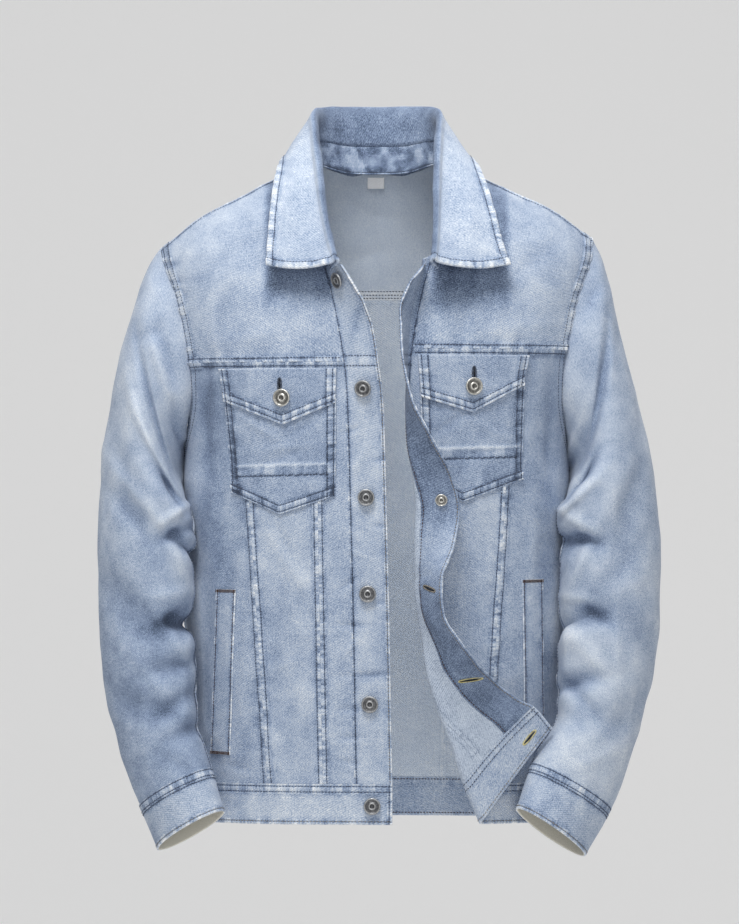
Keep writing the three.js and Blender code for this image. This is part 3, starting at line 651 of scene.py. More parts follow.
def pocketSheet(sign, shape):
    top, innerTop, outerTop, inner, outer, point = shape
    pointShare = (point[0] - inner[0]) / (outer[0] - inner[0])

    def at(u, v):
        near = mix(inner[1], point[1], u / pointShare)
        far = mix(point[1], outer[1], (u - pointShare) / (1 - pointShare))
        bottom = np.where(u < pointShare, near, far)
        s = mix(mix(innerTop, inner[0], v), mix(outerTop, outer[0], v), u)
        return bodyPoint(sign, s, mix(top, bottom, v))

    return at


welts = {
    right: ((148.4, 169.6, -467.5), (154.8, 176, -643.4)),
    left: ((152.6, 175, -457), (155.5, 177.5, -633)),
}


def weltSheet(sign):
    top, bottom = welts[sign]

    def at(u, v):
        s = mix(mix(top[0], top[1], u), mix(bottom[0], bottom[1], u), v)
        return bodyPoint(sign, s, mix(top[2], bottom[2], v))

    return at


def labelSheet(u, v):
    s = mix(-10.5, 8.5, u)
    return bodyPoint(np.where(s < 0, right, left), np.abs(s), mix(-32, -20, v), True)


# Uneven forms: smooth noise on a lattice, the same in each run
def latticeNoise(seed):
    lattice = np.random.default_rng(seed).random((24, 24, 24)) * 2 - 1

    def read(points, size):
        place = points / np.asarray(size, float)
        i = np.floor(place).astype(int)
        f = place - i
        f = f * f * (3 - 2 * f)
        total = 0
        for corner in np.ndindex(2, 2, 2):
            weight = np.prod(np.where(np.array(corner) == 1, f, 1 - f), axis=-1)
            a, b, c = [(i[..., k] + corner[k]) % 24 for k in range(3)]
            total = total + weight * lattice[a, b, c]
        return total

    return read


rumpleNoise = latticeNoise(3)
creaseNoise = latticeNoise(11)
puckerNoise = latticeNoise(29)


def alongNoise(distance, period, seed):
    points = np.stack([distance / period, 0 * distance + seed * 1.7, 0 * distance + seed * 0.37], axis=-1)
    return puckerNoise(points, 1)


def edgeMarks(kind):
    # distances from an edge that its band needs, so that rows and steps come out sharp
    marks = [0, 0.4, 1.1]
    if kind in bands:
        for row in bands[kind]["rows"]:
            marks += [row - 1.1, row, row + 1.1]
        marks += [bands[kind]["width"] + 0.2, bands[kind]["width"] + 2]
    kept = [0.0]
    for mark in sorted(marks):
        if mark - kept[-1] >= 0.4:
            kept.append(mark)
    return np.array(kept)


def stations(length, step, start, end):
    first, last = edgeMarks(start), edgeMarks(end)
    count = max(int(round((length - first[-1] - last[-1]) / step)), 2)
    middle = np.linspace(first[-1], length - last[-1], count + 1)[1:-1]
    return np.concatenate([first, middle, length - last[::-1]]) / length


def lengths(points, axis):
    steps = np.linalg.norm(np.diff(points, axis=axis), axis=-1)
    total = np.cumsum(steps, axis=axis)
    pad = [(0, 0), (0, 0)]
    pad[axis] = (1, 0)
    return np.pad(total, pad)


# A seam band lies along an edge: its width, where its stitch rows are, how far it stands up,
# how much it puffs between the rows, the length of one pucker and how pale it is worn
bands = {
    "half": {"width": 5.4, "rows": (4.3,), "rise": 0.6, "puff": 0.9, "period": 4.6, "pale": 0.10},
    "full": {"width": 11, "rows": (2.4, 9.4), "rise": 0.7, "puff": 1.2, "period": 4.6, "pale": 0.24},
    "yoke": {"width": 5.4, "rows": (4.2,), "rise": 0.7, "puff": 0.9, "period": 4.4, "pale": 0.05},
    "hem": {"width": 9.6, "rows": (2.6, 8.4), "rise": 0.3, "puff": 0.7, "period": 5.5, "pale": 0.10},
    "edge": {"width": 5, "rows": (3.4,), "rise": 0.2, "puff": 0.5, "period": 6, "pale": 0.1},
    "flap": {"width": 11, "rows": (3.6, 10.2), "rise": 0.5, "puff": 1.0, "period": 4.4, "pale": 0.34},
    "patch": {"width": 10, "rows": (2.4, 9.2), "rise": 0.4, "puff": 0.9, "period": 4.8, "pale": 0.08},
    "collar": {"width": 9.2, "rows": (8.2,), "rise": 0.4, "puff": 1.2, "period": 4.4, "pale": 0.1},
    "side": {"width": 8.0, "rows": (7.2,), "rise": 0.3, "puff": 1.0, "period": 4.8, "pale": 0.06},
    "front": {"width": 4.2, "rows": (2.4,), "rise": 0.15, "puff": 0.7, "period": 7, "pale": 0.15},
    "seam": {"width": 3.0, "rows": (2.2,), "rise": 0.25, "puff": 0.5, "period": 6, "pale": 0.05},
    "welt": {"width": 3.4, "rows": (2.6,), "rise": 0.3, "puff": 0.4, "period": 7, "pale": 0.15},
    "cuff": {"width": 11, "rows": (1.6, 8.2, 11), "rise": 0.35, "puff": 0.5, "period": 5, "pale": 0.0},
}


def bandRelief(band, away, along, seed):
    # height, and wear with a painted shade line beside it, of one band: lifted cloth, pulled in at the
    # rows, puckered between them
    inside = 1 - ease(away, band["width"] - 0.4, band["width"] + 0.8)
    bars = ease(alongNoise(along, band["period"], seed), -0.22, 0.3)
    groove = 0
    for row in band["rows"]:
        groove = groove + np.exp(-(((away - row) / 0.8) ** 2))
    groove = np.minimum(groove, 1)
    puff = bars * inside * (1 - 0.8 * groove)
    height = band["rise"] * inside + band["puff"] * puff - 0.45 * groove
    wearAndShade = band["pale"] * inside + 0.40 * puff - 0.34 * (1 - bars) * inside - 0.95 * groove
    # painted shade: a dark line just outside the band, where its raised edge would cast shade
    shade = np.exp(-(((away - band["width"] - 1.5) / 1.3) ** 2))
    # short wrinkles run out of the band where the thread draws the cloth in
    drag = np.exp(-np.maximum(away - band["width"], 0) / 8) * (1 - inside)
    pull = alongNoise(along, band["period"] * 1.7, seed + 5)
    return height + 0.6 * drag * pull, wearAndShade - 0.3 * shade + 0.42 * drag * pull, inside * (1 - groove)


skins = {}  # the finished faces of each piece, for the thread that lies on it


def makeCloth(name, at, thick, lift=0.0, step=2.4, mirror=False, closed=False, edges=None,
              folds=(), rumple=0.7, tone=0.0, us=None, vs=None, seed=1,
              looks=("face", "inside"), extra=None, seamTop=None, shade=None,
              foldRubAndShade=0.1, innerTone=None):
    edges = edges or {}
    coarse = at(*np.meshgrid(np.linspace(0, 1, 33), np.linspace(0, 1, 33)))
    wide = float(lengths(coarse, 1)[:, -1].max())
    tall = float(lengths(coarse, 0)[-1].max())
    if us is None:
        us = np.arange(int(wide / step)) / int(wide / step) if closed else stations(
            wide, step, edges.get("left"), edges.get("right"))
    vs = stations(tall, step, edges.get("top"), edges.get("bottom")) if vs is None else vs
    u, v = np.meshgrid(us, vs)
    points = at(u, v)
    if closed:
        ring = np.concatenate([points[:, -1:], points, points[:, :1]], axis=1)
        across = np.gradient(ring, axis=1)[:, 1:-1]
        fromLeft = np.full(u.shape, 1e3)
        fromRight = fromLeft
        around = lengths(points, 1)
    else:
        across = np.gradient(points, axis=1)
        fromLeft = lengths(points, 1)
        fromRight = fromLeft[:, -1:] - fromLeft
        around = fromLeft
    fromTop = lengths(points, 0)
    fromBottom = fromTop[-1:] - fromTop
    normals = unit(np.cross(across, np.gradient(points, axis=0)) * (-1 if mirror else 1))
    away = {"left": fromLeft, "right": fromRight, "top": fromTop, "bottom": fromBottom}

    relief = 0.8 * rumple * rumpleNoise(points, (46, 46, 60))
    small = creaseNoise(points + seed * 13, (15, 15, 21))
    relief = relief + 0.3 * rumple * small
    ridged = 1 - np.abs(creaseNoise(points + 71, (38, 38, 52)))
    relief = relief + 0.8 * rumple * (ridged**3 - 0.4)
    # the rumple is painted paler where it rises and darker where it sinks: painted light and shade, as
    # well as the rub of wear
    wearAndShade = tone + 0.10 * small + 0.16 * (ridged**4 - 0.25)
    # each fold is painted paler on its ridge and darker in its trough: painted light and shade, as well as
    # the rub of wear
    for x, z, *size in folds:
        depth = foldDepth(points[..., 0] - x, points[..., 2] - z, *size)
        relief = relief + depth
        wearAndShade = wearAndShade + foldRubAndShade * depth
    creases = relief
    puckers = {"puckerDown": 0 * u, "puckerAcross": 0 * u}
    for edge, kind in edges.items():
        if kind in ("free", "plain"):
            continue
        band = bands[kind]
        along = fromTop if edge in ("left", "right") else around
        height, wornAndShaded, ribbed = bandRelief(band, away[edge], along, seed + len(edge))
        if seamTop is not None and edge in ("left", "right"):
            shown = ease(seamTop - points[..., 2], 0, 5)
            height, wornAndShaded, ribbed = height * shown, wornAndShaded * shown, ribbed * shown
        way = "puckerDown" if edge in ("left", "right") else "puckerAcross"
        puckers[way] = np.maximum(puckers[way], ribbed)
        relief = relief + height
        wearAndShade = wearAndShade + wornAndShaded
    # painted shade, such as under the collar and beside the armholes
    if shade:
        wearAndShade = wearAndShade + shade(points)
    if extra:
        height, wornAndShaded = extra(u, v, away, points)
        relief = relief + height
        wearAndShade = wearAndShade + wornAndShaded

    rounding = 0
    for edge, kind in edges.items():
        if kind in ("plain", "half", "yoke", "full", "seam", "cuff", "hem"):
            continue
        r = thick / 2
        near = np.clip(away[edge], 0, r)
        rounding = np.maximum(rounding, r - np.sqrt(np.maximum(r * r - (r - near) ** 2, 0)))
        wearAndShade = wearAndShade + 0.5 * np.exp(-((away[edge] / 0.9) ** 2))
    outer = points + normals * (lift + relief - rounding * 0.95)[..., None]
    inner = points + normals * (lift - thick + creases + rounding * 0.95)[..., None]
    makeShell(name, outer, inner, mirror, closed, (u * wide, v * tall), looks,
              dict(puckers, wearAndShade=wearAndShade), innerTone(points, away).reshape(-1) if innerTone else 0.0)
    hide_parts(name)
    min(clothArea(points, closed), 0.999 * wide * tall / 1e6)
    skins[name] = {
        "outer": outer, "inner": inner, "closed": closed, "mirror": mirror, "away": away,
        "around": around, "u": us, "v": vs,
    }


def clothArea(points, closed):
    a, b, c, d = points[:-1, :-1], points[:-1, 1:], points[1:, 1:], points[1:, :-1]
    quads = np.linalg.norm(np.cross(c - a, d - b), axis=-1) / 2
    total = quads.sum()
    if closed:
        a, b, c, d = points[:-1, -1], points[:-1, 0], points[1:, 0], points[1:, -1]
        total += (np.linalg.norm(np.cross(c - a, d - b), axis=-1) / 2).sum()
    return float(total) / 1e6


def makeShell(name, outer, inner, mirror, closed, cloth, looks, tones, innerTone):
    rows, columns = outer.shape[:2]
    layer = rows * columns
    index = np.arange(layer).reshape(rows, columns)
    if closed:
        index = np.concatenate([index, index[:, :1]], axis=1)
    a, b, c, d = index[:-1, :-1], index[:-1, 1:], index[1:, 1:], index[1:, :-1]
    faces = [np.stack([a, b, c, d], -1).reshape(-1, 4)]
    faces.append(np.stack([a, d, c, b], -1).reshape(-1, 4) + layer)
    top, bottom = index[0], index[-1]
    faces.append(np.stack([top[:-1] + layer, top[1:] + layer, top[1:], top[:-1]], -1))
    faces.append(np.stack([bottom[:-1], bottom[1:], bottom[1:] + layer, bottom[:-1] + layer], -1))
    if not closed:
        start, stop = index[:, 0], index[:, -1]
        faces.append(np.stack([start[:-1], start[1:], start[1:] + layer, start[:-1] + layer], -1))
        faces.append(np.stack([stop[:-1] + layer, stop[1:] + layer, stop[1:], stop[:-1]], -1))
    kinds = np.concatenate([np.full(len(f), 1 if k == 1 else 0) for k, f in enumerate(faces)])
    faces = np.concatenate(faces)
    if mirror:
        faces = faces[:, ::-1]
    spots = np.concatenate([outer.reshape(-1, 3), inner.reshape(-1, 3)]) / 1000
    piece = addMesh(name + "_cloth", spots, faces, [materials[look] for look in looks])
    mesh = piece.data
    mesh.polygons.foreach_set("material_index", kinds.astype(np.int32))
    uv = np.stack([cloth[0].reshape(-1), cloth[1].reshape(-1)], -1) / 1000
    uv = np.concatenate([uv, uv])
    layerUv = mesh.uv_layers.new(name="UVMap")
    layerUv.data.foreach_set("uv", uv[faces.reshape(-1)].astype(np.float32).reshape(-1))
    for tone, values in tones.items():
        # the inner face shows the same wear and painted shade, but weaker
        own = innerTone if tone == "wearAndShade" else 0.0
        values = np.concatenate([values.reshape(-1), 0.35 * values.reshape(-1) + own])
        mesh.attributes.new(tone, "FLOAT", "POINT").data.foreach_set("value", values.astype(np.float32))


def addMesh(name, spots, faces, looks):
    mesh = bpy.data.meshes.new(name)
    size = faces.shape[1]
    mesh.vertices.add(len(spots))
    mesh.vertices.foreach_set("co", spots.astype(np.float32).reshape(-1))
    mesh.loops.add(faces.size)
    mesh.loops.foreach_set("vertex_index", faces.astype(np.int32).reshape(-1))
    mesh.polygons.add(len(faces))
    mesh.polygons.foreach_set("loop_start", np.arange(0, faces.size, size, dtype=np.int32))
    mesh.polygons.foreach_set("loop_total", np.full(len(faces), size, dtype=np.int32))
    mesh.update(calc_edges=True)
    mesh.shade_smooth()
    for look in looks:
        mesh.materials.append(look)
    piece = bpy.data.objects.new(name, mesh)
    bpy.context.scene.collection.objects.link(piece)
    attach(piece, "root")
    return piece


def linear(hexColour):
    channels = [int(hexColour[i:i + 2], 16) / 255 for i in (1, 3, 5)]
    return tuple(c / 12.92 if c <= 0.04045 else ((c + 0.055) / 1.055) ** 2.4 for c in channels) + (1,)


def addNode(tree, kind, values=None, links=None):
    node = tree.nodes.new(kind)
    for key, value in (values or {}).items():
        if isinstance(key, str) and hasattr(node, key):
            setattr(node, key, value)
        else:
            node.inputs[key].default_value = value
    for key, (source, output) in (links or {}).items():
        tree.links.new(source.outputs[output], node.inputs[key])
    return node


def startMaterial(name):
    look = bpy.data.materials.new(name)
    look.use_nodes = True
    look.node_tree.nodes.clear()
    return look, look.node_tree


def finishMaterial(tree, shader):
    addNode(tree, "ShaderNodeOutputMaterial", links={"Surface": (shader, "BSDF")})


def stops(ramp, colours):
    for spare in list(ramp.elements)[1:]:
        ramp.elements.remove(spare)
    for i, (place, colour) in enumerate(colours):
        stop = ramp.elements[0] if i == 0 else ramp.elements.new(place)
        stop.position = place
        stop.color = linear(colour)


# Washed indigo denim, a 3/1 twill woven from blue warp and white weft, stone washed until pale:
# salt and pepper grain, cloudy tone, white worn ridges, slate blue in the grooves, a dry matt face
# the darker stops of the ramp also carry painted shade, and the paler ones painted light
denimFace = {
    "colours": [(0.0, "#3d485c"), (0.2, "#617089"), (0.4, "#899ab5"), (0.58, "#abb8cb"),
                (0.78, "#cad2dc"), (1.0, "#eef0f2")],
    "middle": 0.54, "twillPitch": 0.0021, "twill": 0.08, "heather": 1.0, "slub": 0.22, "grain": 0.30,
    "cloud": 0.34, "wash": 0.22, "bars": 0.85, "wearAndShade": 0.36, "bump": 0.5,
}
# The back of the same twill shows mostly white weft, so it is paler, greyer and more even
denimBack = dict(
    denimFace,
    colours=[(0.0, "#5b677b"), (0.25, "#8794a9"), (0.5, "#b4c0d1"), (0.75, "#ccd6e2"),
             (1.0, "#e9ecef")],
    middle=0.70, twill=0.16, heather=1.0, slub=0.30, grain=0.36, cloud=0.26, wash=0.12, wearAndShade=0.4,
)


def noise(tree, coordinates, output, size, detail=2.0):
    # a noise texture whose spots are `size` metres across, alike or (along x, along y)
    sizes = size if isinstance(size, tuple) else (size, size)
    place = addNode(tree, "ShaderNodeMapping", {"Scale": (1 / sizes[0], 1 / sizes[1], 1 / sizes[0])},
                    {"Vector": (coordinates, output)})
    return addNode(tree, "ShaderNodeTexNoise", {"Scale": 1.0, "Detail": detail, "Roughness": 0.6},
                   {"Vector": (place, "Vector")})


def denimMaterial(name, look):
    material, tree = startMaterial(name)
    uv = addNode(tree, "ShaderNodeUVMap", {"uv_map": "UVMap"})
    place = addNode(tree, "ShaderNodeTexCoord")
    turned = addNode(tree, "ShaderNodeMapping", {"Rotation": (0, 0, math.radians(58))},
                     {"Vector": (uv, "UV")})
    # diagonal wales; real ones are 0.8 mm apart, these are wider so that they show
    twill = addNode(
        tree, "ShaderNodeTexWave",
        {"wave_type": "BANDS", "bands_direction": "X", "Scale": 2 * math.pi / 20 / look["twillPitch"],
         "Distortion": 1.6, "Detail": 1.0, "Detail Scale": 0.6},
        {"Vector": (turned, "Vector")},
    )
    slub = noise(tree, uv, "UV", (0.0011, 0.014))        # thick and thin warp yarn
    heather = noise(tree, uv, "UV", 0.0015)              # light and dark fibres
    grain = noise(tree, uv, "UV", 0.0042)
    cloud = noise(tree, place, "Object", 0.019, 3.0)     # clouds left by the stone wash
    wash = noise(tree, place, "Object", 0.085)
    # this attribute holds real wear together with painted shade and painted light: collar shadow, shade
    # beside the arms and in fold hollows, paler fold ridges
    wornAndShaded = addNode(tree, "ShaderNodeAttribute", {"attribute_name": "wearAndShade"})
    layers = [(twill, "twill"), (slub, "slub"), (heather, "heather"), (grain, "grain"), (cloud, "cloud"),
              (wash, "wash")]
    # every layer is centred on its own half, so the sum stays round the middle tone
    start = look["middle"] - sum(look[layer] for _, layer in layers) / 2
    total = addNode(tree, "ShaderNodeMath", {"operation": "MULTIPLY_ADD", 1: look["wearAndShade"], 2: start},
                    {0: (wornAndShaded, "Fac")})
    for texture, layer in layers:
        total = addNode(tree, "ShaderNodeMath", {"operation": "MULTIPLY_ADD", 1: look[layer]},
                        {0: (texture, "Fac"), 2: (total, 0)})
    height = addNode(tree, "ShaderNodeMath", {"operation": "MULTIPLY_ADD", 1: 0.8},
                     {0: (heather, "Fac"), 2: (twill, "Fac")})
    # between two rows of thread the cloth puckers into short bars across the band, 3 mm apart
    for way, size in (("puckerDown", (0.03, 0.0034)), ("puckerAcross", (0.0034, 0.03))):
        bars = noise(tree, uv, "UV", size, 1.0)
        mask = addNode(tree, "ShaderNodeAttribute", {"attribute_name": way})
        swing = addNode(tree, "ShaderNodeMath", {"operation": "SUBTRACT", 1: 0.5}, {0: (bars, "Fac")})
        masked = addNode(tree, "ShaderNodeMath", {"operation": "MULTIPLY"},
                         {0: (swing, 0), 1: (mask, "Fac")})
        total = addNode(tree, "ShaderNodeMath", {"operation": "MULTIPLY_ADD", 1: look["bars"]},
                        {0: (masked, 0), 2: (total, 0)})
        height = addNode(tree, "ShaderNodeMath", {"operation": "MULTIPLY_ADD", 1: 5.0},
                         {0: (masked, 0), 2: (height, 0)})
    ramp = addNode(tree, "ShaderNodeValToRGB", links={"Fac": (total, 0)})
    stops(ramp.color_ramp, look["colours"])
    bump = addNode(tree, "ShaderNodeBump", {"Strength": look["bump"], "Distance": 0.0004},
                   {"Height": (height, 0)})
    shader = addNode(
        tree, "ShaderNodeBsdfPrincipled",
        {"Roughness": 0.92, "Specular IOR Level": 0.18, "Sheen Weight": 0.10, "Sheen Roughness": 0.5},
        {"Base Color": (ramp, "Color"), "Normal": (bump, "Normal")},
    )
    finishMaterial(tree, shader)
    return material


# Spun polyester sewing thread, twisted from two plies, with a faint gloss along the strands
def threadMaterial(name, dark, pale):
    material, tree = startMaterial(name)
    place = addNode(tree, "ShaderNodeTexCoord")
    ply = addNode(tree, "ShaderNodeTexNoise", {"Scale": 260.0, "Detail": 1.0},
                  {"Vector": (place, "Object")})
    ramp = addNode(tree, "ShaderNodeValToRGB", links={"Fac": (ply, "Fac")})
    stops(ramp.color_ramp, [(0.3, dark), (0.7, pale)])
    shader = addNode(tree, "ShaderNodeBsdfPrincipled", {"Roughness": 0.7, "Specular IOR Level": 0.3},
                     {"Base Color": (ramp, "Color")})
    finishMaterial(tree, shader)
    return material


# Pressed brass with a worn nickel plate, tumbled with the wash: satin, with dark oxide in the hollows
def metalMaterial(name, dark, pale, rough):
    material, tree = startMaterial(name)
    place = addNode(tree, "ShaderNodeTexCoord")
    stain = addNode(tree, "ShaderNodeTexNoise", {"Scale": 420.0, "Detail": 3.0},
                    {"Vector": (place, "Object")})
    hollow = addNode(tree, "ShaderNodeAttribute", {"attribute_name": "hollow"})
    mixed = addNode(tree, "ShaderNodeMath", {"operation": "MULTIPLY_ADD", 1: 0.5},
                    {0: (stain, "Fac"), 2: (hollow, "Fac")})
    ramp = addNode(tree, "ShaderNodeValToRGB", links={"Fac": (mixed, 0)})
    stops(ramp.color_ramp, [(0.15, pale), (0.75, dark)])
    gloss = addNode(
        tree, "ShaderNodeMapRange",
        {"From Min": 0.3, "From Max": 0.8, "To Min": rough, "To Max": rough + 0.2},
        {"Value": (stain, "Fac")},
    )
    shader = addNode(tree, "ShaderNodeBsdfPrincipled", {"Metallic": 1.0},
                     {"Base Color": (ramp, "Color"), "Roughness": (gloss, "Result")})
    finishMaterial(tree, shader)
    return material


# Bleached cotton tape, plain woven: white with a fine weave
def tapeMaterial(name, dark, pale):
    material, tree = startMaterial(name)
    uv = addNode(tree, "ShaderNodeUVMap", {"uv_map": "UVMap"})
    weave = addNode(tree, "ShaderNodeTexNoise", {"Scale": 900.0, "Detail": 1.0}, {"Vector": (uv, "UV")})
    ramp = addNode(tree, "ShaderNodeValToRGB", links={"Fac": (weave, "Fac")})
    stops(ramp.color_ramp, [(0.3, dark), (0.7, pale)])
    bump = addNode(tree, "ShaderNodeBump", {"Strength": 0.2, "Distance": 0.0002},
                   {"Height": (weave, "Fac")})
    shader = addNode(tree, "ShaderNodeBsdfPrincipled", {"Roughness": 0.85},
                     {"Base Color": (ramp, "Color"), "Normal": (bump, "Normal")})
    finishMaterial(tree, shader)
    return material


materials = {
    "face": denimMaterial("washed_denim_face", denimFace),
    "inside": denimMaterial("washed_denim_back", denimBack),
    "facing": tapeMaterial("unbleached_cotton_facing", "#c9c6bb", "#e4e1d6"),
    "slate": threadMaterial("spun_thread_slate", "#363c4a", "#596172"),
    "sand": threadMaterial("spun_thread_sand", "#6f6a62", "#9a948a"),
    "gap": threadMaterial("thread_in_shadow", "#14171d", "#262b35"),
    "rust": threadMaterial("spun_thread_brown", "#3a2c27", "#5d483e"),
    "straw": threadMaterial("spun_thread_straw", "#b9ad74", "#e0d9a9"),
    "nickel": metalMaterial("worn_nickel_plate", "#57585b", "#b9babb", 0.4),
    "bright": metalMaterial("pale_nickel_plate", "#6a6966", "#e6e4dd", 0.36),
    "tape": tapeMaterial("bleached_cotton_tape", "#f0f0f0", "#ffffff"),
}
print("materials made")

# Creases, in mm: across, up, heading, half length, half width, how far out
frontCreases = [
    (-150, -110, 35, 40, 9, -1.4), (-122, -150, 80, 36, 8, 1.2), (-170, -175, 75, 30, 8, -1.4),
    (-62, -178, 80, 34, 6, -1.6), (-95, -135, 60, 30, 8, -1.2), (-140, -203, 8, 40, 7, 0.9),
    (-48, -330, 88, 60, 6, -1.0), (-43, -560, 85, 70, 6, 1.0), (-104, -330, 20, 30, 5, -1.1),
    (-120, -300, -30, 26, 4, 1.1), (-80, -298, 30, 24, 4, -1.2), (-98, -318, 5, 34, 4, 1.0),
    (-98, -420, -65, 30, 6, -1.5), (-84, -452, -58, 42, 7, 1.5), (-106, -520, 85, 60, 8, -1.2),
    (-80, -600, 80, 50, 7, 1.0), (-110, -640, 95, 40, 7, 1.2), (-92, -545, 20, 20, 4, 0.7),
    (-165, -300, 88, 50, 8, -1.8), (-178, -420, 86, 60, 7, 1.6), (-160, -470, 84, 60, 8, -1.7),
    (-186, -560, 88, 60, 8, -1.5), (-140, -560, 86, 60, 6, 1.2), (-186, -640, 40, 26, 6, -1.4),
    (-150, -655, -10, 22, 4, -1.2), (-135, -645, 70, 20, 4, 1.1),
    (150, -300, 92, 50, 8, -1.7), (120, -440, 80, 40, 8, 1.3), (104, -520, 95, 50, 8, -1.6),
    (165, -430, 88, 60, 7, 1.5), (180, -540, 90, 60, 8, -1.6), (136, -600, 85, 40, 7, 1.2),
    (68, -150, 75, 36, 9, -1.6), (92, -175, 80, 36, 7, -1.5), (110, -130, 70, 42, 9, 1.4),
    (165, -120, 40, 40, 9, -1.1), (150, -190, 5, 40, 7, 0.9), (128, -172, 84, 30, 6, 1.0),
    (80, -290, 35, 24, 4, -1.2), (120, -300, -25, 26, 4, 1.1), (100, -325, 8, 30, 4, -1.0),
    (197, -500, 90, 45, 16, 5), (-197, -500, 90, 45, 16, 7), (199, -365, 90, 40, 16, 4),
    (-199, -356, 90, 44, 16, 5.5), (-182, -290, 88, 70, 10, -3.0), (184, -300, 90, 70, 10, -2.2),
    (-180, -480, 88, 60, 9, -2.4), (-170, -360, 82, 46, 5, 1.6), (-152, -330, 96, 40, 5, -2.0),
]
placketCreases = [
    (-30, -460, 35, 12, 2.6, -1.7), (-27, -504, 0, 14, 2.6, -1.9), (-28, -528, 48, 11, 2.6, 1.5),
    (-12, -556, 3, 26, 2.6, -1.8), (-29, -592, 5, 11, 2.6, -1.8), (-27, -622, 2, 13, 2.6, -1.8),
    (-30, -648, -8, 10, 2.6, -1.7), (-28, -300, 20, 10, 2.6, -1.5), (4, -400, 0, 8, 2.6, -1.4),
    (6, -330, 10, 9, 2.6, -1.4), (5, -480, -6, 8, 2.6, -1.4), (-18, -330, 60, 20, 4, 0.9),
    (-22, -428, -20, 12, 3, 0.8), (-20, -180, 75, 40, 5, -1.3), (-12, -560, 12, 12, 3, -0.8),
]
turnedCreases = [
    (62, -392, 80, 26, 4, -1.2), (48, -452, 20, 12, 3, 1.2), (58, -500, -60, 34, 4, -1.3),
    (88, -560, -48, 30, 4, 1.4), (110, -585, -42, 26, 3.5, -1.5), (72, -540, -55, 22, 3, 1.0),
    (132, -618, -40, 16, 3, 1.2), (66, -650, 50, 26, 5, 1.0), (86, -690, 42, 20, 4, -1.0),
]
backCreases = [
    (-120, -120, 30, 60, 12, 1.6), (110, -135, -28, 60, 12, 1.8), (-40, -190, 80, 50, 10, -1.2),
    (60, -260, 86, 80, 12, -1.6), (-70, -330, 84, 90, 12, 1.6), (10, -430, 88, 90, 12, 1.3),
    (-150, -420, 70, 70, 11, -1.8), (150, -450, 108, 70, 11, -1.7), (-30, -560, 75, 60, 10, -1.3),
    (80, -600, 96, 60, 10, 1.4), (-120, -620, 84, 50, 9, 1.3), (165, -620, 80, 44, 8, 1.2),
    (197, -500, 90, 45, 16, 5), (-197, -500, 90, 45, 16, 7), (199, -365, 90, 40, 16, 4),
    (-199, -356, 90, 44, 16, 5.5),
]
sleeveCreases = [
    (-241, -196, 30, 16, 8, -3.6), (-229, -240, -73, 44, 5, 3.6), (-219, -232, -73, 40, 6, -3.2),
    (-212, -294, -75, 24, 6, -6.5), (-204, -309, -65, 28, 3.5, 3.2), (-255, -366, -49, 44, 8, 3.8),
    (-264, -387, -49, 42, 8, -2.8), (-214, -388, 34, 20, 5, 4.2), (-213, -409, 20, 18, 6, -7.0),
    (-212, -436, -68, 34, 4.5, 3.8), (-221, -473, 10, 22, 6, 2.6), (-215, -497, 35, 24, 7, -7.0),
    (-216, -520, -58, 32, 5, 3.8), (-212, -587, 30, 22, 8, -5.5), (-238, -560, -50, 34, 8, 2.4),
    (-262, -475, -40, 42, 12, -2.4), (-262, -285, 78, 44, 10, 1.8), (-240, -630, 30, 30, 9, 2.0),
    (-210, -650, -30, 26, 7, -2.2), (-208, -150, 60, 26, 7, 1.8),
    (230, -154, 60, 18, 8, -3.6), (207, -325, 74, 48, 4, 3.6), (222, -312, 74, 38, 8, -4.2),
    (212, -395, -35, 24, 6, 4.2), (220, -414, -20, 18, 6, -7.0), (214, -443, 66, 32, 4.5, 3.8),
    (229, -493, -25, 18, 6, -7.0), (212, -478, -12, 20, 6, 2.8), (214, -580, -50, 28, 8, -5.5),
    (232, -545, -50, 34, 8, 2.6), (264, -602, 50, 42, 12, -2.6), (250, -370, 60, 50, 10, 2.2),
    (262, -440, 50, 44, 11, -2.4), (246, -240, 78, 46, 10, -1.8), (228, -645, 20, 26, 7, 2.0),
    (-197, -357, 90, 18, 14, 7.0), (-197, -427, 90, 18, 14, 6.0), (-197, -507, 90, 20, 14, 7.0),
    (203, -352, 90, 18, 14, 7.0), (200, -413, 90, 18, 14, 6.0), (203, -511, 90, 20, 14, 7.0),
    (198, -570, 90, 16, 12, 4.0), (-206, -262, 90, 22, 12, 3.0), (206, -262, 90, 22, 12, 3.0),
]
princessTops = {right: -362, left: -348}  # the princess seams come out from under the pockets here

# Painted shade under the collar: the cloth below each wing of the collar is darkened where the collar's
# shadow falls
collarShadows = [(-121, -44, -124, 64), (54, 142, -124, 62)]


def collarShade(points):
    total = 0
    for low, high, bottom, reach in collarShadows:
        beside = ease(points[..., 0], low - 2, low + 7) * (1 - ease(points[..., 0], high - 7, high + 2))
        total = total + beside * (1 - ease(bottom - points[..., 2], 0.3 * reach, reach))
    return -0.8 * total * (points[..., 1] < 0)


def sideShade(points):
    # painted shade beside the armholes, where the sleeves shade the sides of the body
    x, z = np.abs(points[..., 0]), points[..., 2]
    strip = np.exp(-(((x - 176 - 0.03 * (z + 300)) / 11) ** 2))
    strip = strip * np.where(points[..., 0] < 0, 0.45, 0.12)
    return -strip * ease(-z, 225, 250) * (1 - ease(-z, 400, 520)) * (points[..., 1] < 0)


def turnedTone(points, away):
    # the inside of the turned front lies in the shade of the collar and the arm
    return 0 * points[..., 2] - 0.55


def turnedPlacketTone(points, away):
    # painted shade, as on the rest of the turned front's inside, with one paler stretch where it turns
    # over
    return 0.7 * np.exp(-(((points[..., 2] + 425) / 36) ** 2)) - 0.66


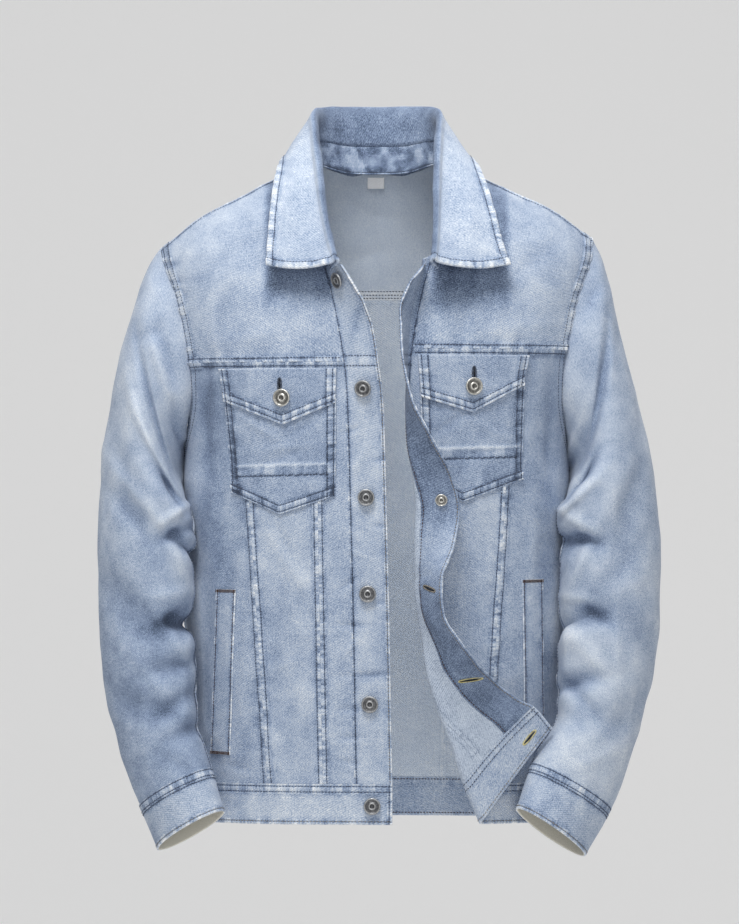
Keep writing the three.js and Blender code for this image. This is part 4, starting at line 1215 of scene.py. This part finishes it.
def backYokeTone(points, away):
    # the turned-in allowance along the yoke seam is worn pale
    return 0.6 * (1 - ease(away["top"], 10, 11.5))


placketSeams = {right: -227, left: -226}  # the yoke seam runs on under each placket, at this height


def crossSeam(level):
    # two rows of thread across a placket, with puckered cloth between them
    def relief(u, v, away, points):
        up = points[..., 2] - level
        rows = np.exp(-(((np.abs(up) - 5.2) / 0.9) ** 2))
        bars = ease(alongNoise(points[..., 0], 3.4, 8), -0.25, 0.3)
        band = 1 - ease(np.abs(up), 4.6, 6.5)
        return 0.5 * band * bars - 0.4 * rows, 0.35 * band * (bars - 0.5) - 0.7 * rows

    return relief


# Front of the body
for sign in (right, left):
    side = sideName[sign]
    creases = frontCreases + (turnedCreases if sign > 0 else placketCreases)
    makeCloth(
        f"front_center_{side}", frontPanel(sign, 1, 2), cut["denim"], step=2.7, mirror=sign > 0,
        edges={"left": "plain", "right": "half", "top": "yoke", "bottom": "plain"}, seed=3 + sign,
        folds=creases, rumple=1.0, seamTop=princessTops[sign], shade=collarShade,
        innerTone=turnedTone if sign > 0 else None,
    )
    makeCloth(
        f"front_middle_{side}", frontPanel(sign, 2, 3), cut["denim"], step=2.7, mirror=sign > 0,
        edges={"left": "half", "right": "half", "top": "yoke", "bottom": "plain"}, seed=7 + sign,
        rumple=1.0, folds=creases, seamTop=princessTops[sign],
        innerTone=turnedTone if sign > 0 else None,
    )
    makeCloth(
        f"front_side_{side}", frontPanel(sign, 3, 0), cut["denim"], step=3.3, mirror=sign > 0,
        edges={"left": "half", "right": "full", "top": "yoke", "bottom": "plain"}, seed=12 + sign,
        rumple=1.1, tone=-0.12, folds=creases, seamTop=princessTops[sign], shade=sideShade,
    )
    makeCloth(
        f"placket_{side}", placketSheet(sign), cut["double"], lift=cut["doubleLift"], step=2.5,
        mirror=sign > 0, edges={"left": "front", "right": "seam", "top": "free", "bottom": "plain"},
        seed=17 + sign, rumple=0.9, looks=("face", "face"),
        folds=creases, shade=collarShade, tone=0.12 if sign < 0 else -0.3,
        extra=crossSeam(placketSeams[sign]), foldRubAndShade=0.3,
        innerTone=turnedPlacketTone if sign > 0 else None,
    )
    makeCloth(
        f"waistband_{side}", waistbandSheet(sign), cut["bandThick"], lift=cut["bandLift"], step=2.8,
        mirror=sign > 0, edges={"left": "edge", "right": "plain", "top": "hem", "bottom": "edge"},
        seed=23 + sign, rumple=0.7, looks=("face", "face"), tone=0.26,
    )
    makeCloth(
        f"front_yoke_{side}", frontYokeSheet(sign), cut["denim"], step=3.2, mirror=sign < 0,
        edges={"left": "plain", "right": "full", "top": "yoke", "bottom": "half"}, seed=31 + sign,
        rumple=1.0, tone=0.02, folds=creases, shade=collarShade,
    )
print("fronts made")

# Back
makeCloth("back_yoke", backYokeSheet, cut["denim"], step=4.0, mirror=True, seed=41, rumple=1.1,
          folds=backCreases,
          edges={"left": "full", "right": "full", "top": "yoke", "bottom": "plain"}, tone=0.08,
          innerTone=backYokeTone)
makeCloth("back_center", backCenterSheet, cut["denim"], step=4.5, seed=43, rumple=1.1, folds=backCreases,
          edges={"left": "half", "right": "half", "top": "yoke", "bottom": "plain"})
for sign in (right, left):
    makeCloth(
        f"back_side_{sideName[sign]}", backSideSheet(sign), cut["denim"], step=4.5, mirror=sign < 0,
        edges={"left": "half", "right": "full", "top": "yoke", "bottom": "plain"}, seed=47 + sign,
        rumple=1.1, folds=backCreases,
    )
makeCloth("waistband_back", backBandSheet, cut["bandThick"], lift=cut["bandLift"], step=4.0, seed=51,
          edges={"left": "plain", "right": "plain", "top": "hem", "bottom": "edge"}, rumple=0.4,
          looks=("face", "face"))
print("back made")

# Sleeves and cuffs
for sign in (right, left):
    side = sideName[sign]

    def sleeveFoldShadeAndTone(u, v, away, points, around=(-84, 186)):
        # painted shade in the pressed-in hollows of the folds and paler where they stand out, as light and
        # shade as well as the rub of wear; lower down, the right sleeve is darker and the left paler
        press = 0
        for foldDown, foldRound, *size in sleeveFolds[sign]:
            apart = (mix(*around, u) - foldRound + 540) % 360 - 180
            press = press + foldDepth(np.radians(apart) * sleeveRadius,
                                      cut["cuffStart"] * v - foldDown, *size)
        lower = ease(-points[..., 2], 380, 560)
        return 0, -0.06 * press + (-0.3 if sign < 0 else 0.22) * lower

    makeCloth(
        f"sleeve_upper_{side}", sleeveSheet(sign, -84, 186.02), cut["denim"], step=4.1, mirror=sign < 0,
        edges={"left": "half", "right": "half", "top": "plain", "bottom": "plain"}, seed=61 + sign,
        rumple=1.6, folds=sleeveCreases, extra=sleeveFoldShadeAndTone,
    )
    makeCloth(
        f"sleeve_under_{side}", sleeveSheet(sign, 186.04, 275.98), cut["denim"], step=4.6,
        mirror=sign < 0, edges={"left": "half", "right": "half", "top": "plain", "bottom": "plain"},
        seed=66 + sign, rumple=1.5,
    )
    makeCloth(
        f"cuff_{side}", cuffSheet(sign), cut["double"], lift=cut["doubleLift"], step=2.8, closed=True,
        mirror=sign < 0, edges={"top": "cuff", "bottom": "edge"}, seed=71 + sign, rumple=0.6,
        looks=("face", "facing"),
    )
print("sleeves made")


# Collar
def standTone(u, v, away, points):
    # painted shade darkens the stand, deep inside the collar, and it is quilted by its seams
    bars = ease(alongNoise(away["left"], 6, 2), -0.3, 0.3)
    blots = ease(rumpleNoise(points, (9, 9, 7)), -0.2, 0.3)
    return 0.6 * bars, -1.0 + 0.45 * bars + 0.6 * blots


def leafInnerShade(u, v, away, points):
    # painted shade on the inner part of the leaf, from the stand up to the roll
    return 0, -0.85 * (1 - ease(v, 0.36, 0.48))


makeCloth("collar_stand", standSheet, cut["double"], lift=cut["denim"], step=3.2, seed=81, rumple=0.8,
          edges={"left": "free", "right": "free", "top": "seam", "bottom": "plain"},
          looks=("face", "face"), extra=standTone)
leafRows = np.concatenate([
    np.linspace(0, 0.2, 8), np.linspace(0.2, 0.6, 18)[1:], np.linspace(0.6, 0.86, 14)[1:],
    np.linspace(0.86, 0.985, 14)[1:], (0.993, 1.0),
])
makeCloth("collar_leaf", leafSheet, cut["double"], lift=cut["denim"], step=2.7, vs=leafRows, seed=83,
          rumple=1.1, edges={"left": "collar", "right": "collar", "bottom": "side", "top": "plain"},
          looks=("face", "face"), tone=0.12,
          extra=leafInnerShade)
print("collar made")

# Pockets, flaps and welts
pleats = {right: -333, left: -321}  # height of each pocket's tuck
for sign in (right, left):
    side = sideName[sign]
    shapes = pockets[sign]

    def pleat(u, v, away, points, level=pleats[sign]):
        # a tuck straight across the pocket: a worn fold above, its row of thread 10 mm below
        down = level - points[..., 2] + 0.03 * points[..., 0]
        inside = ease(away["left"], 6, 9) * ease(away["right"], 6, 9)
        fold = np.exp(-((down / 1.5) ** 2))
        band = ease(down, 0, 1.5) * (1 - ease(down, 9.5, 11))
        row = np.exp(-(((down - 11) / 0.9) ** 2))
        bars = ease(alongNoise(points[..., 0], 5, 9), -0.25, 0.3)
        below = np.exp(-(((down - 20) / 9) ** 2)) * alongNoise(points[..., 0] + 0.5 * down, 9, 4)
        height = 1.1 * fold + 0.6 * band * (0.6 + bars) - 0.5 * row + 0.7 * below
        return height * inside, (0.8 * fold + 0.5 * band * (bars - 0.4) - 1.1 * row + 0.3 * below) * inside

    makeCloth(
        f"pocket_{side}", pocketSheet(sign, shapes["patch"]), 1.4, lift=1.7, step=2.0, mirror=sign > 0,
        edges={"left": "patch", "right": "patch", "bottom": "patch", "top": "free"}, seed=91 + sign,
        rumple=1.0, folds=frontCreases, extra=pleat,
        tone=-0.24,
    )
    makeCloth(
        f"pocket_flap_{side}", pocketSheet(sign, shapes["flap"]), cut["double"], lift=4.2, step=1.8,
        mirror=sign > 0, edges={"left": "flap", "right": "flap", "bottom": "flap", "top": "free"},
        seed=95 + sign, rumple=1.2, looks=("face", "face"),
        tone=-0.18,
    )
    makeCloth(
        f"welt_{side}", weltSheet(sign), 1.2, lift=1.5, step=1.8, mirror=sign > 0,
        edges={"left": "welt", "right": "welt", "bottom": "free", "top": "free"}, seed=99 + sign,
        rumple=0.5,
    )
makeCloth("neck_label", labelSheet, 0.8, lift=-cut["denim"] - 0.3, step=1.2, mirror=True, seed=5,
          edges={"left": "free", "right": "free", "bottom": "free", "top": "free"}, rumple=0.3,
          looks=("tape", "tape"))
print("pockets made")


def facing(surface, s, z, sign):
    across = surface(s + 1, z) - surface(s - 1, z)
    up = surface(s, z + 1) - surface(s, z - 1)
    return unit(np.cross(across, up) * sign)


# Stitching
stitch = {"length": 2.7, "pitch": 3.4, "radius": 0.5, "stand": 0.36}


def edgeLine(name, edge, inset, face="outer", low=0.0, high=1.0):
    # points and normals on a piece's face, a given distance in from one of its edges
    skin = skins[name]
    grid = skin[face]
    sign = -1 if skin["mirror"] else 1
    if skin["closed"]:
        ring = np.concatenate([grid[:, -1:], grid, grid[:, :1]], axis=1)
        across = np.gradient(ring, axis=1)[:, 1:-1]
    else:
        across = np.gradient(grid, axis=1)
    normals = unit(np.cross(across, np.gradient(grid, axis=0))) * sign
    if face == "inner":
        normals = -normals
    away = skin["away"][edge]
    if edge in ("left", "right"):
        grid, normals, away = [np.swapaxes(a, 0, 1) for a in (grid, normals, away)]
    count = grid.shape[1]
    if edge in ("right", "bottom"):
        grid, normals, away = grid[::-1], normals[::-1], away[::-1]
    row = np.array([np.searchsorted(away[:, j], inset) for j in range(count)])
    row = np.clip(row, 1, grid.shape[0] - 1)
    at = np.arange(count)
    lowAway, highAway = away[row - 1, at], away[row, at]
    t = np.clip((inset - lowAway) / np.maximum(highAway - lowAway, 1e-6), 0, 1)[:, None]
    line = grid[row - 1, at] * (1 - t) + grid[row, at] * t
    lineNormals = unit(normals[row - 1, at] * (1 - t) + normals[row, at] * t)
    if skin["closed"]:
        line = np.concatenate([line, line[:1]])
        lineNormals = np.concatenate([lineNormals, lineNormals[:1]])
    return clipLine(line, lineNormals, low, high)


def levelLine(name, z, tilt, margin):
    # a row across a piece at one height, `margin` in from its sides
    skin = skins[name]
    grid = skin["outer"]
    normals = unit(np.cross(np.gradient(grid, axis=1), np.gradient(grid, axis=0)))
    normals = normals * (-1 if skin["mirror"] else 1)
    columns = np.flatnonzero(
        (skin["away"]["left"][0] > margin) & (skin["away"]["right"][0] > margin))
    line = []
    for j in columns:
        up = grid[:, j, 2] - tilt * grid[:, j, 0]
        line.append([np.interp(-z, -up, grid[:, j, k]) for k in range(3)])
    return np.array(line), normals[len(grid) // 2, columns]


def clipLine(line, normals, low, high):
    if low <= 0 and high >= 1:
        return line, normals
    far = np.concatenate([[0], np.cumsum(np.linalg.norm(np.diff(line, axis=0), axis=1))])
    keep = (far >= low * far[-1]) & (far <= high * far[-1])
    return line[keep], normals[keep]


threads = {}


def sew(group, colour, line, normals, pitch=None, length=None, radius=None):
    pitch = pitch or stitch["pitch"]
    length = length or stitch["length"]
    radius = radius or stitch["radius"]
    far = np.concatenate([[0], np.cumsum(np.linalg.norm(np.diff(line, axis=0), axis=1))])
    count = int((far[-1] - length) / pitch) + 1
    if far[-1] < length:
        return
    starts = (far[-1] - (count - 1) * pitch - length) / 2 + np.arange(count) * pitch
    rings = []
    for share, size, stand in ((0, 0.4, -0.3), (0.5, 1.1, 1), (1, 0.4, -0.3)):
        at = starts + share * length
        spot = np.stack([np.interp(at, far, line[:, k]) for k in range(3)], -1)
        up = unit(np.stack([np.interp(at, far, normals[:, k]) for k in range(3)], -1))
        ahead = np.stack([np.interp(at + 0.4, far, line[:, k]) - np.interp(at - 0.4, far, line[:, k])
                          for k in range(3)], -1)
        beside = unit(np.cross(ahead, up))
        middle = spot + up * stitch["stand"] * stand
        rings.append(np.stack([
            middle + beside * radius * size, middle + up * radius * size * 0.8,
            middle - beside * radius * size, middle - up * radius * size * 0.8,
        ], axis=1))
    threads.setdefault((group, colour), []).append(np.concatenate(rings, axis=1))


def sewBand(name, edge, kind, colour="slate", group=None, rows=None, below=None, **more):
    for inset in rows or bands[kind]["rows"]:
        line, normals = edgeLine(name, edge, inset, **more)
        if below is not None:
            keep = line[:, 2] < below
            line, normals = line[keep], normals[keep]
        sew(group or name, colour, line, normals)


def makeThreads():
    # one stitch is a closed spindle: three rings of four points, and a face at each end
    one = np.array([[0, 3, 2, 1]] + [
        [4 * r + k, 4 * r + (k + 1) % 4, 4 * r + 4 + (k + 1) % 4, 4 * r + 4 + k]
        for r in range(2) for k in range(4)
    ] + [[8, 9, 10, 11]])
    for (group, colour), parts in threads.items():
        spots = np.concatenate(parts)
        faces = (one[None] + 12 * np.arange(len(spots))[:, None, None]).reshape(-1, 4)
        addMesh(f"stitching_{group}_{colour}", spots.reshape(-1, 3) / 1000, faces, [materials[colour]])


for sign in (right, left):
    side = sideName[sign]
    sewBand(f"front_center_{side}", "right", "half", group=f"front_{side}", below=princessTops[sign])
    sewBand(f"front_middle_{side}", "left", "half", group=f"front_{side}", below=princessTops[sign])
    sewBand(f"front_middle_{side}", "right", "half", group=f"front_{side}", below=princessTops[sign])
    sewBand(f"front_side_{side}", "left", "half", group=f"front_{side}", below=princessTops[sign])
    sewBand(f"front_side_{side}", "right", "full", group=f"front_{side}", high=0.98)
    for piece in ("center", "middle", "side"):
        sewBand(f"front_{piece}_{side}", "top", "yoke", group=f"front_{side}")
    sewBand(f"front_yoke_{side}", "top", "yoke", group=f"front_{side}")
    sewBand(f"front_yoke_{side}", "right", "full", group=f"front_{side}")
    sewBand(f"front_yoke_{side}", "bottom", "half", group=f"front_{side}")
    sewBand(f"placket_{side}", "right", "seam", group=f"placket_{side}")
    sewBand(f"placket_{side}", "left", "front", "sand", group=f"placket_{side}")
    sewBand(f"placket_{side}", "left", "front", "sand", group=f"placket_{side}", face="inner")
    sewBand(f"placket_{side}", "right", "seam", "rust", group=f"placket_{side}", face="inner")
    for gap in (-5.2, 5.2):
        row = levelLine(f"placket_{side}", placketSeams[sign] + gap, 0, 3)
        sew(f"placket_{side}", "slate", *row)
    for edge in ("top", "bottom", "left"):
        kind = "hem" if edge == "top" else "edge"
        colour = "sand" if edge == "bottom" else "slate"
        sewBand(f"waistband_{side}", edge, kind, colour, group=f"waistband_{side}")
        sewBand(f"waistband_{side}", edge, kind, colour, group=f"waistband_{side}", face="inner")
    for piece in ("upper", "under"):
        for edge in ("left", "right"):
            sewBand(f"sleeve_{piece}_{side}", edge, "half", group=f"sleeve_{side}")
    sewBand(f"cuff_{side}", "top", "cuff", group=f"cuff_{side}")
    sewBand(f"cuff_{side}", "bottom", "edge", "sand", group=f"cuff_{side}")
    sewBand(f"back_side_{side}", "left", "half", group="back")
    sewBand(f"back_side_{side}", "right", "full", group="back")
    sewBand(f"back_side_{side}", "top", "yoke", group="back")
    for piece, kind in (("pocket", "patch"), ("pocket_flap", "flap")):
        for edge in ("left", "right", "bottom"):
            sewBand(f"{piece}_{side}", edge, kind, group=f"{piece}_{side}")
    sew(f"pocket_{side}", "slate", *levelLine(f"pocket_{side}", pleats[sign] - 11, 0.03, 8))
    for edge in ("left", "right"):
        sewBand(f"welt_{side}", edge, "welt", "rust", group=f"welt_{side}")
for edge in ("left", "right"):
    sewBand("back_center", edge, "half", group="back")
    sewBand("back_yoke", edge, "full", group="back")
sewBand("back_center", "top", "yoke", group="back")
sewBand("back_yoke", "top", "yoke", group="back")
sewBand("back_yoke", "top", "yoke", group="back_inside", rows=(2.5, 6, 10), face="inner")
sewBand("waistband_back", "top", "hem", group="waistband_back")
sewBand("waistband_back", "bottom", "edge", "sand", group="waistband_back")
sewBand("waistband_back", "top", "hem", "rust", group="waistband_back", rows=(2.6,), face="inner")
sewBand("waistband_back", "bottom", "edge", "rust", group="waistband_back", face="inner")
for edge, kind in (("left", "collar"), ("right", "collar"), ("bottom", "side")):
    sewBand("collar_leaf", edge, kind, group="collar_leaf")
sewBand("collar_stand", "top", "seam", "slate", group="collar_stand", face="outer")
sewBand("collar_stand", "top", "seam", "slate", group="collar_stand", face="inner")

# bar tacks close the ends of the welts with packed thread
for sign in (right, left):
    side = sideName[sign]
    for edge in ("top", "bottom"):
        for inset in (0.8, 1.6, 2.4, 3.2):
            line, normals = edgeLine(f"welt_{side}", edge, inset)
            sew(f"tack_{side}", "rust", line, normals, pitch=1.5, length=1.4, radius=0.5)


def bodySpot(sign, s, z, lift):
    # a point and the outward normal on the front of the body, lifted off it
    surface = lambda a, b: frontPoint(sign, np.array(a, float), np.array(b, float))
    out = facing(surface, s, z, sign)
    return surface(s, z) + out * lift, out


def makeButtonhole(group, middle, out, along, length, colour):
    # a dark slit with packed stitches all round it, like the rays of a flat oval
    along = unit(along - out * np.dot(along, out))
    across = np.cross(out, along)
    count = int(length * 3)
    for k in range(count):
        turn = 2 * math.pi * k / count
        ray = along * math.cos(turn) * length / 2 + across * math.sin(turn) * 1.5
        reach = unit(along * math.cos(turn) * 0.3 + across * math.sin(turn)) * 1.4
        line = np.array([middle + ray - reach * 0.3, middle + ray + reach])
        sew(group, colour, line, np.array([out, out]), pitch=9, length=1.7, radius=0.55)
    # the slit is a near-black spindle of painted shade, for the dark of the opening
    slit = np.array([middle - along * length * 0.46, middle + along * length * 0.46])
    sew(group, "gap", slit, np.array([out, out]), pitch=99, length=length * 0.9, radius=1.0)


def skinSpot(name, face, u, v):
    # a place on a finished piece, its normal and the direction in which u grows
    skin = skins[name]
    grid = skin[face]
    i = int(np.clip(np.searchsorted(skin["v"], v), 1, len(skin["v"]) - 2))
    j = int(np.clip(np.searchsorted(skin["u"], u), 1, len(skin["u"]) - 2))
    along = unit(grid[i, j + 1] - grid[i, j - 1])
    out = unit(np.cross(along, grid[i + 1, j] - grid[i - 1, j]))
    if skin["mirror"] != (face == "inner"):
        out = -out
    return grid[i, j], out, along


# holes seen on the inside of the turned front: one across the placket, one in the waistband
turnedHoles = [("placket_left", 0.5, 0.825, 25, "straw"), ("placket_left", 0.5, 0.62, 20, "sand"),
               ("waistband_left", 0.05, 0.62, 19, "straw")]
for name, u, v, length, colour in turnedHoles:
    spot, out, along = skinSpot(name, "inner", u, v)
    makeButtonhole(f"hole_{name}_{round(100 * v)}", spot + out * 0.2, out, along, length, colour)
for sign in (right, left):
    side = sideName[sign]
    s, z = pockets[sign]["button"]
    # the slit of the flap runs up from its button
    middle, out = bodySpot(sign, s + (3 if sign < 0 else 1), z + 14, 5.1)
    makeButtonhole(f"hole_{side}", middle, out, np.array([0, 0, 1.0]), 12, "slate")
print("stitching laid")


# Buttons: pressed metal caps on a post, dished, with an open ring in the middle
buttonCap = [(3.6, 0), (3.6, 2.2), (7.6, 2.5), (8.8, 3.1), (9.0, 3.9), (8.5, 4.75), (7.7, 4.95),
             (7.1, 4.5), (6.3, 4.05), (4.6, 3.95), (4.1, 4.3), (3.5, 4.85), (2.8, 4.9), (2.3, 4.5),
             (2.0, 3.4), (1.2, 3.2), (0, 3.2)]
buttonHollows = [0.3, 0.3, 0.2, 0.1, 0, 0, 0.15, 0.35, 0.45, 0.45, 0.3, 0.05, 0, 0.3, 0.7, 0.8, 0.8]


def makeButton(name, base, out, look, scale=1.0, around=40):
    out = unit(np.asarray(out, float))
    first = unit(np.cross(out, (0.3, 0.1, 1)))
    second = np.cross(out, first)
    base = base + out * 0.3
    spots, hollow = [base], [0.4]
    for (r, h), dark in zip(buttonCap[:-1], buttonHollows[:-1]):
        for k in range(around):
            turn = 2 * math.pi * k / around
            spots.append(base + scale * (r * (first * math.cos(turn) + second * math.sin(turn)) + h * out))
            hollow.append(dark)
    spots.append(base + out * buttonCap[-1][1] * scale)
    hollow.append(buttonHollows[-1])
    rings = len(buttonCap) - 1
    faces = []
    for k in range(around):
        after = (k + 1) % around
        faces.append((0, 1 + after, 1 + k))
        for r in range(rings - 1):
            a, b = 1 + r * around + k, 1 + r * around + after
            faces.append((a, b, b + around))
            faces.append((a, b + around, a + around))
        a, b = 1 + (rings - 1) * around + k, 1 + (rings - 1) * around + after
        faces.append((a, b, len(spots) - 1))
    piece = addMesh(name + "_cap", np.array(spots) / 1000, np.array(faces), [materials[look]])
    stain = piece.data.attributes.new("hollow", "FLOAT", "POINT")
    stain.data.foreach_set("value", np.array(hollow, np.float32))
    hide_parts(name)


def makeButtonOn(name, sign, s, z, lift, look, scale=1.0):
    surface = lambda a, b: frontPoint(sign, np.array(a, float), np.array(b, float))
    out = facing(surface, s, z, sign)
    makeButton(name, surface(s, z) + out * lift, out, look, scale)


frontButtons = [(-146, 22), (-256, 20), (-370, 19), (-471, 18), (-587, 18), (-694, 18)]
for i, (z, inset) in enumerate(frontButtons):
    lift = (cut["bandLift"] if z < cut["frontWaist"] else cut["doubleLift"]) + (0.3 if i == 0 else 0)
    makeButtonOn(f"front_button_{i + 1}", right, float(frontSeams(z, 1)) - inset, z, lift, "nickel")
for sign in (right, left):
    s, z = pockets[sign]["button"]
    makeButtonOn(f"flap_button_{sideName[sign]}", sign, s, z, 4.2, "bright", 1.05)
    spot, along, around = [
        sleevePoint(sign, down, turn) for down, turn in ((676, 262), (680, 262), (676, 266))
    ]
    out = unit(np.cross(along - spot, around - spot) * sign)
    makeButton(f"cuff_button_{sideName[sign]}", spot + out * 1.2, out, "nickel", 0.9)
studZ = -372
studS = float(frontSeams(studZ, 1)) - 22
leftSurface = lambda a, b: frontPoint(left, np.array(a, float), np.array(b, float))
inward = -facing(leftSurface, studS, studZ, left)
makeButton("placket_stud", leftSurface(studS, studZ) + inward * 1.9, inward, "bright", 0.72)
makeThreads()
print("buttons made")

# Studio: one pale sweep of paper, floor and backdrop in one, and soft lights
studio = {
    "floor": -2.1, "back": 5.4, "wide": 9.0, "bend": 0.25, "paper": "#dedede", "glow": 0.19,
    "world": 0.42, "key": 60, "front": 28, "top": 26, "behind": 34,
}


def paperSweep():
    profile = [(-7.0, studio["floor"])]
    for k in range(13):
        turn = math.pi / 2 * k / 12
        profile.append((studio["back"] - studio["bend"] + studio["bend"] * math.sin(turn),
                        studio["floor"] + studio["bend"] - studio["bend"] * math.cos(turn)))
    profile.append((studio["back"], 4.5))
    spots = [(x, y, z) for y, z in profile for x in (-studio["wide"], studio["wide"])]
    faces = [(2 * i, 2 * i + 1, 2 * i + 3, 2 * i + 2) for i in range(len(profile) - 1)]
    mesh = bpy.data.meshes.new("paper_sweep")
    mesh.from_pydata(spots, [], faces)
    mesh.shade_smooth()
    material, tree = startMaterial("matt_paper")
    place = addNode(tree, "ShaderNodeTexCoord")
    grain = addNode(tree, "ShaderNodeTexNoise", {"Scale": 900.0}, {"Vector": (place, "Object")})
    bump = addNode(tree, "ShaderNodeBump", {"Strength": 0.05, "Distance": 0.0003},
                   {"Height": (grain, "Fac")})
    shader = addNode(tree, "ShaderNodeBsdfPrincipled",
                     {"Base Color": linear(studio["paper"]), "Roughness": 0.95, "Specular IOR Level": 0.1,
                      "Emission Color": (1, 1, 1, 1), "Emission Strength": studio["glow"]},
                     {"Normal": (bump, "Normal")})
    finishMaterial(tree, shader)
    mesh.materials.append(material)
    sweep = bpy.data.objects.new("paper_sweep", mesh)
    bpy.context.scene.collection.objects.link(sweep)


def softLight(name, place, aim, size, power):
    data = bpy.data.lights.new(name, "AREA")
    data.shape = "DISK"
    data.size = size
    data.energy = power
    lamp = bpy.data.objects.new(name, data)
    lamp.location = place
    aimed = np.array(aim, float) - np.array(place, float)
    lamp.rotation_euler = Vector(aimed).to_track_quat("-Z", "Y").to_euler()
    bpy.context.scene.collection.objects.link(lamp)


paperSweep()
softLight("key", (-0.35, -1.7, 2.2), (0, 0, -0.3), 1.1, studio["key"])
softLight("front", (0.3, -4.2, 0.2), (0, 0, -0.4), 1.6, studio["front"])
softLight("behind", (0.9, 3.4, 1.4), (0, 0, -0.4), 1.6, studio["behind"])
softLight("top", (0.1, -0.1, 2.3), (0, 0, -0.3), 1.4, studio["top"])
world = bpy.data.worlds.new("studio")
world.use_nodes = True
world.node_tree.nodes["Background"].inputs["Color"].default_value = (1, 1, 1, 1)
world.node_tree.nodes["Background"].inputs["Strength"].default_value = studio["world"]
bpy.context.scene.world = world
print("studio lit")
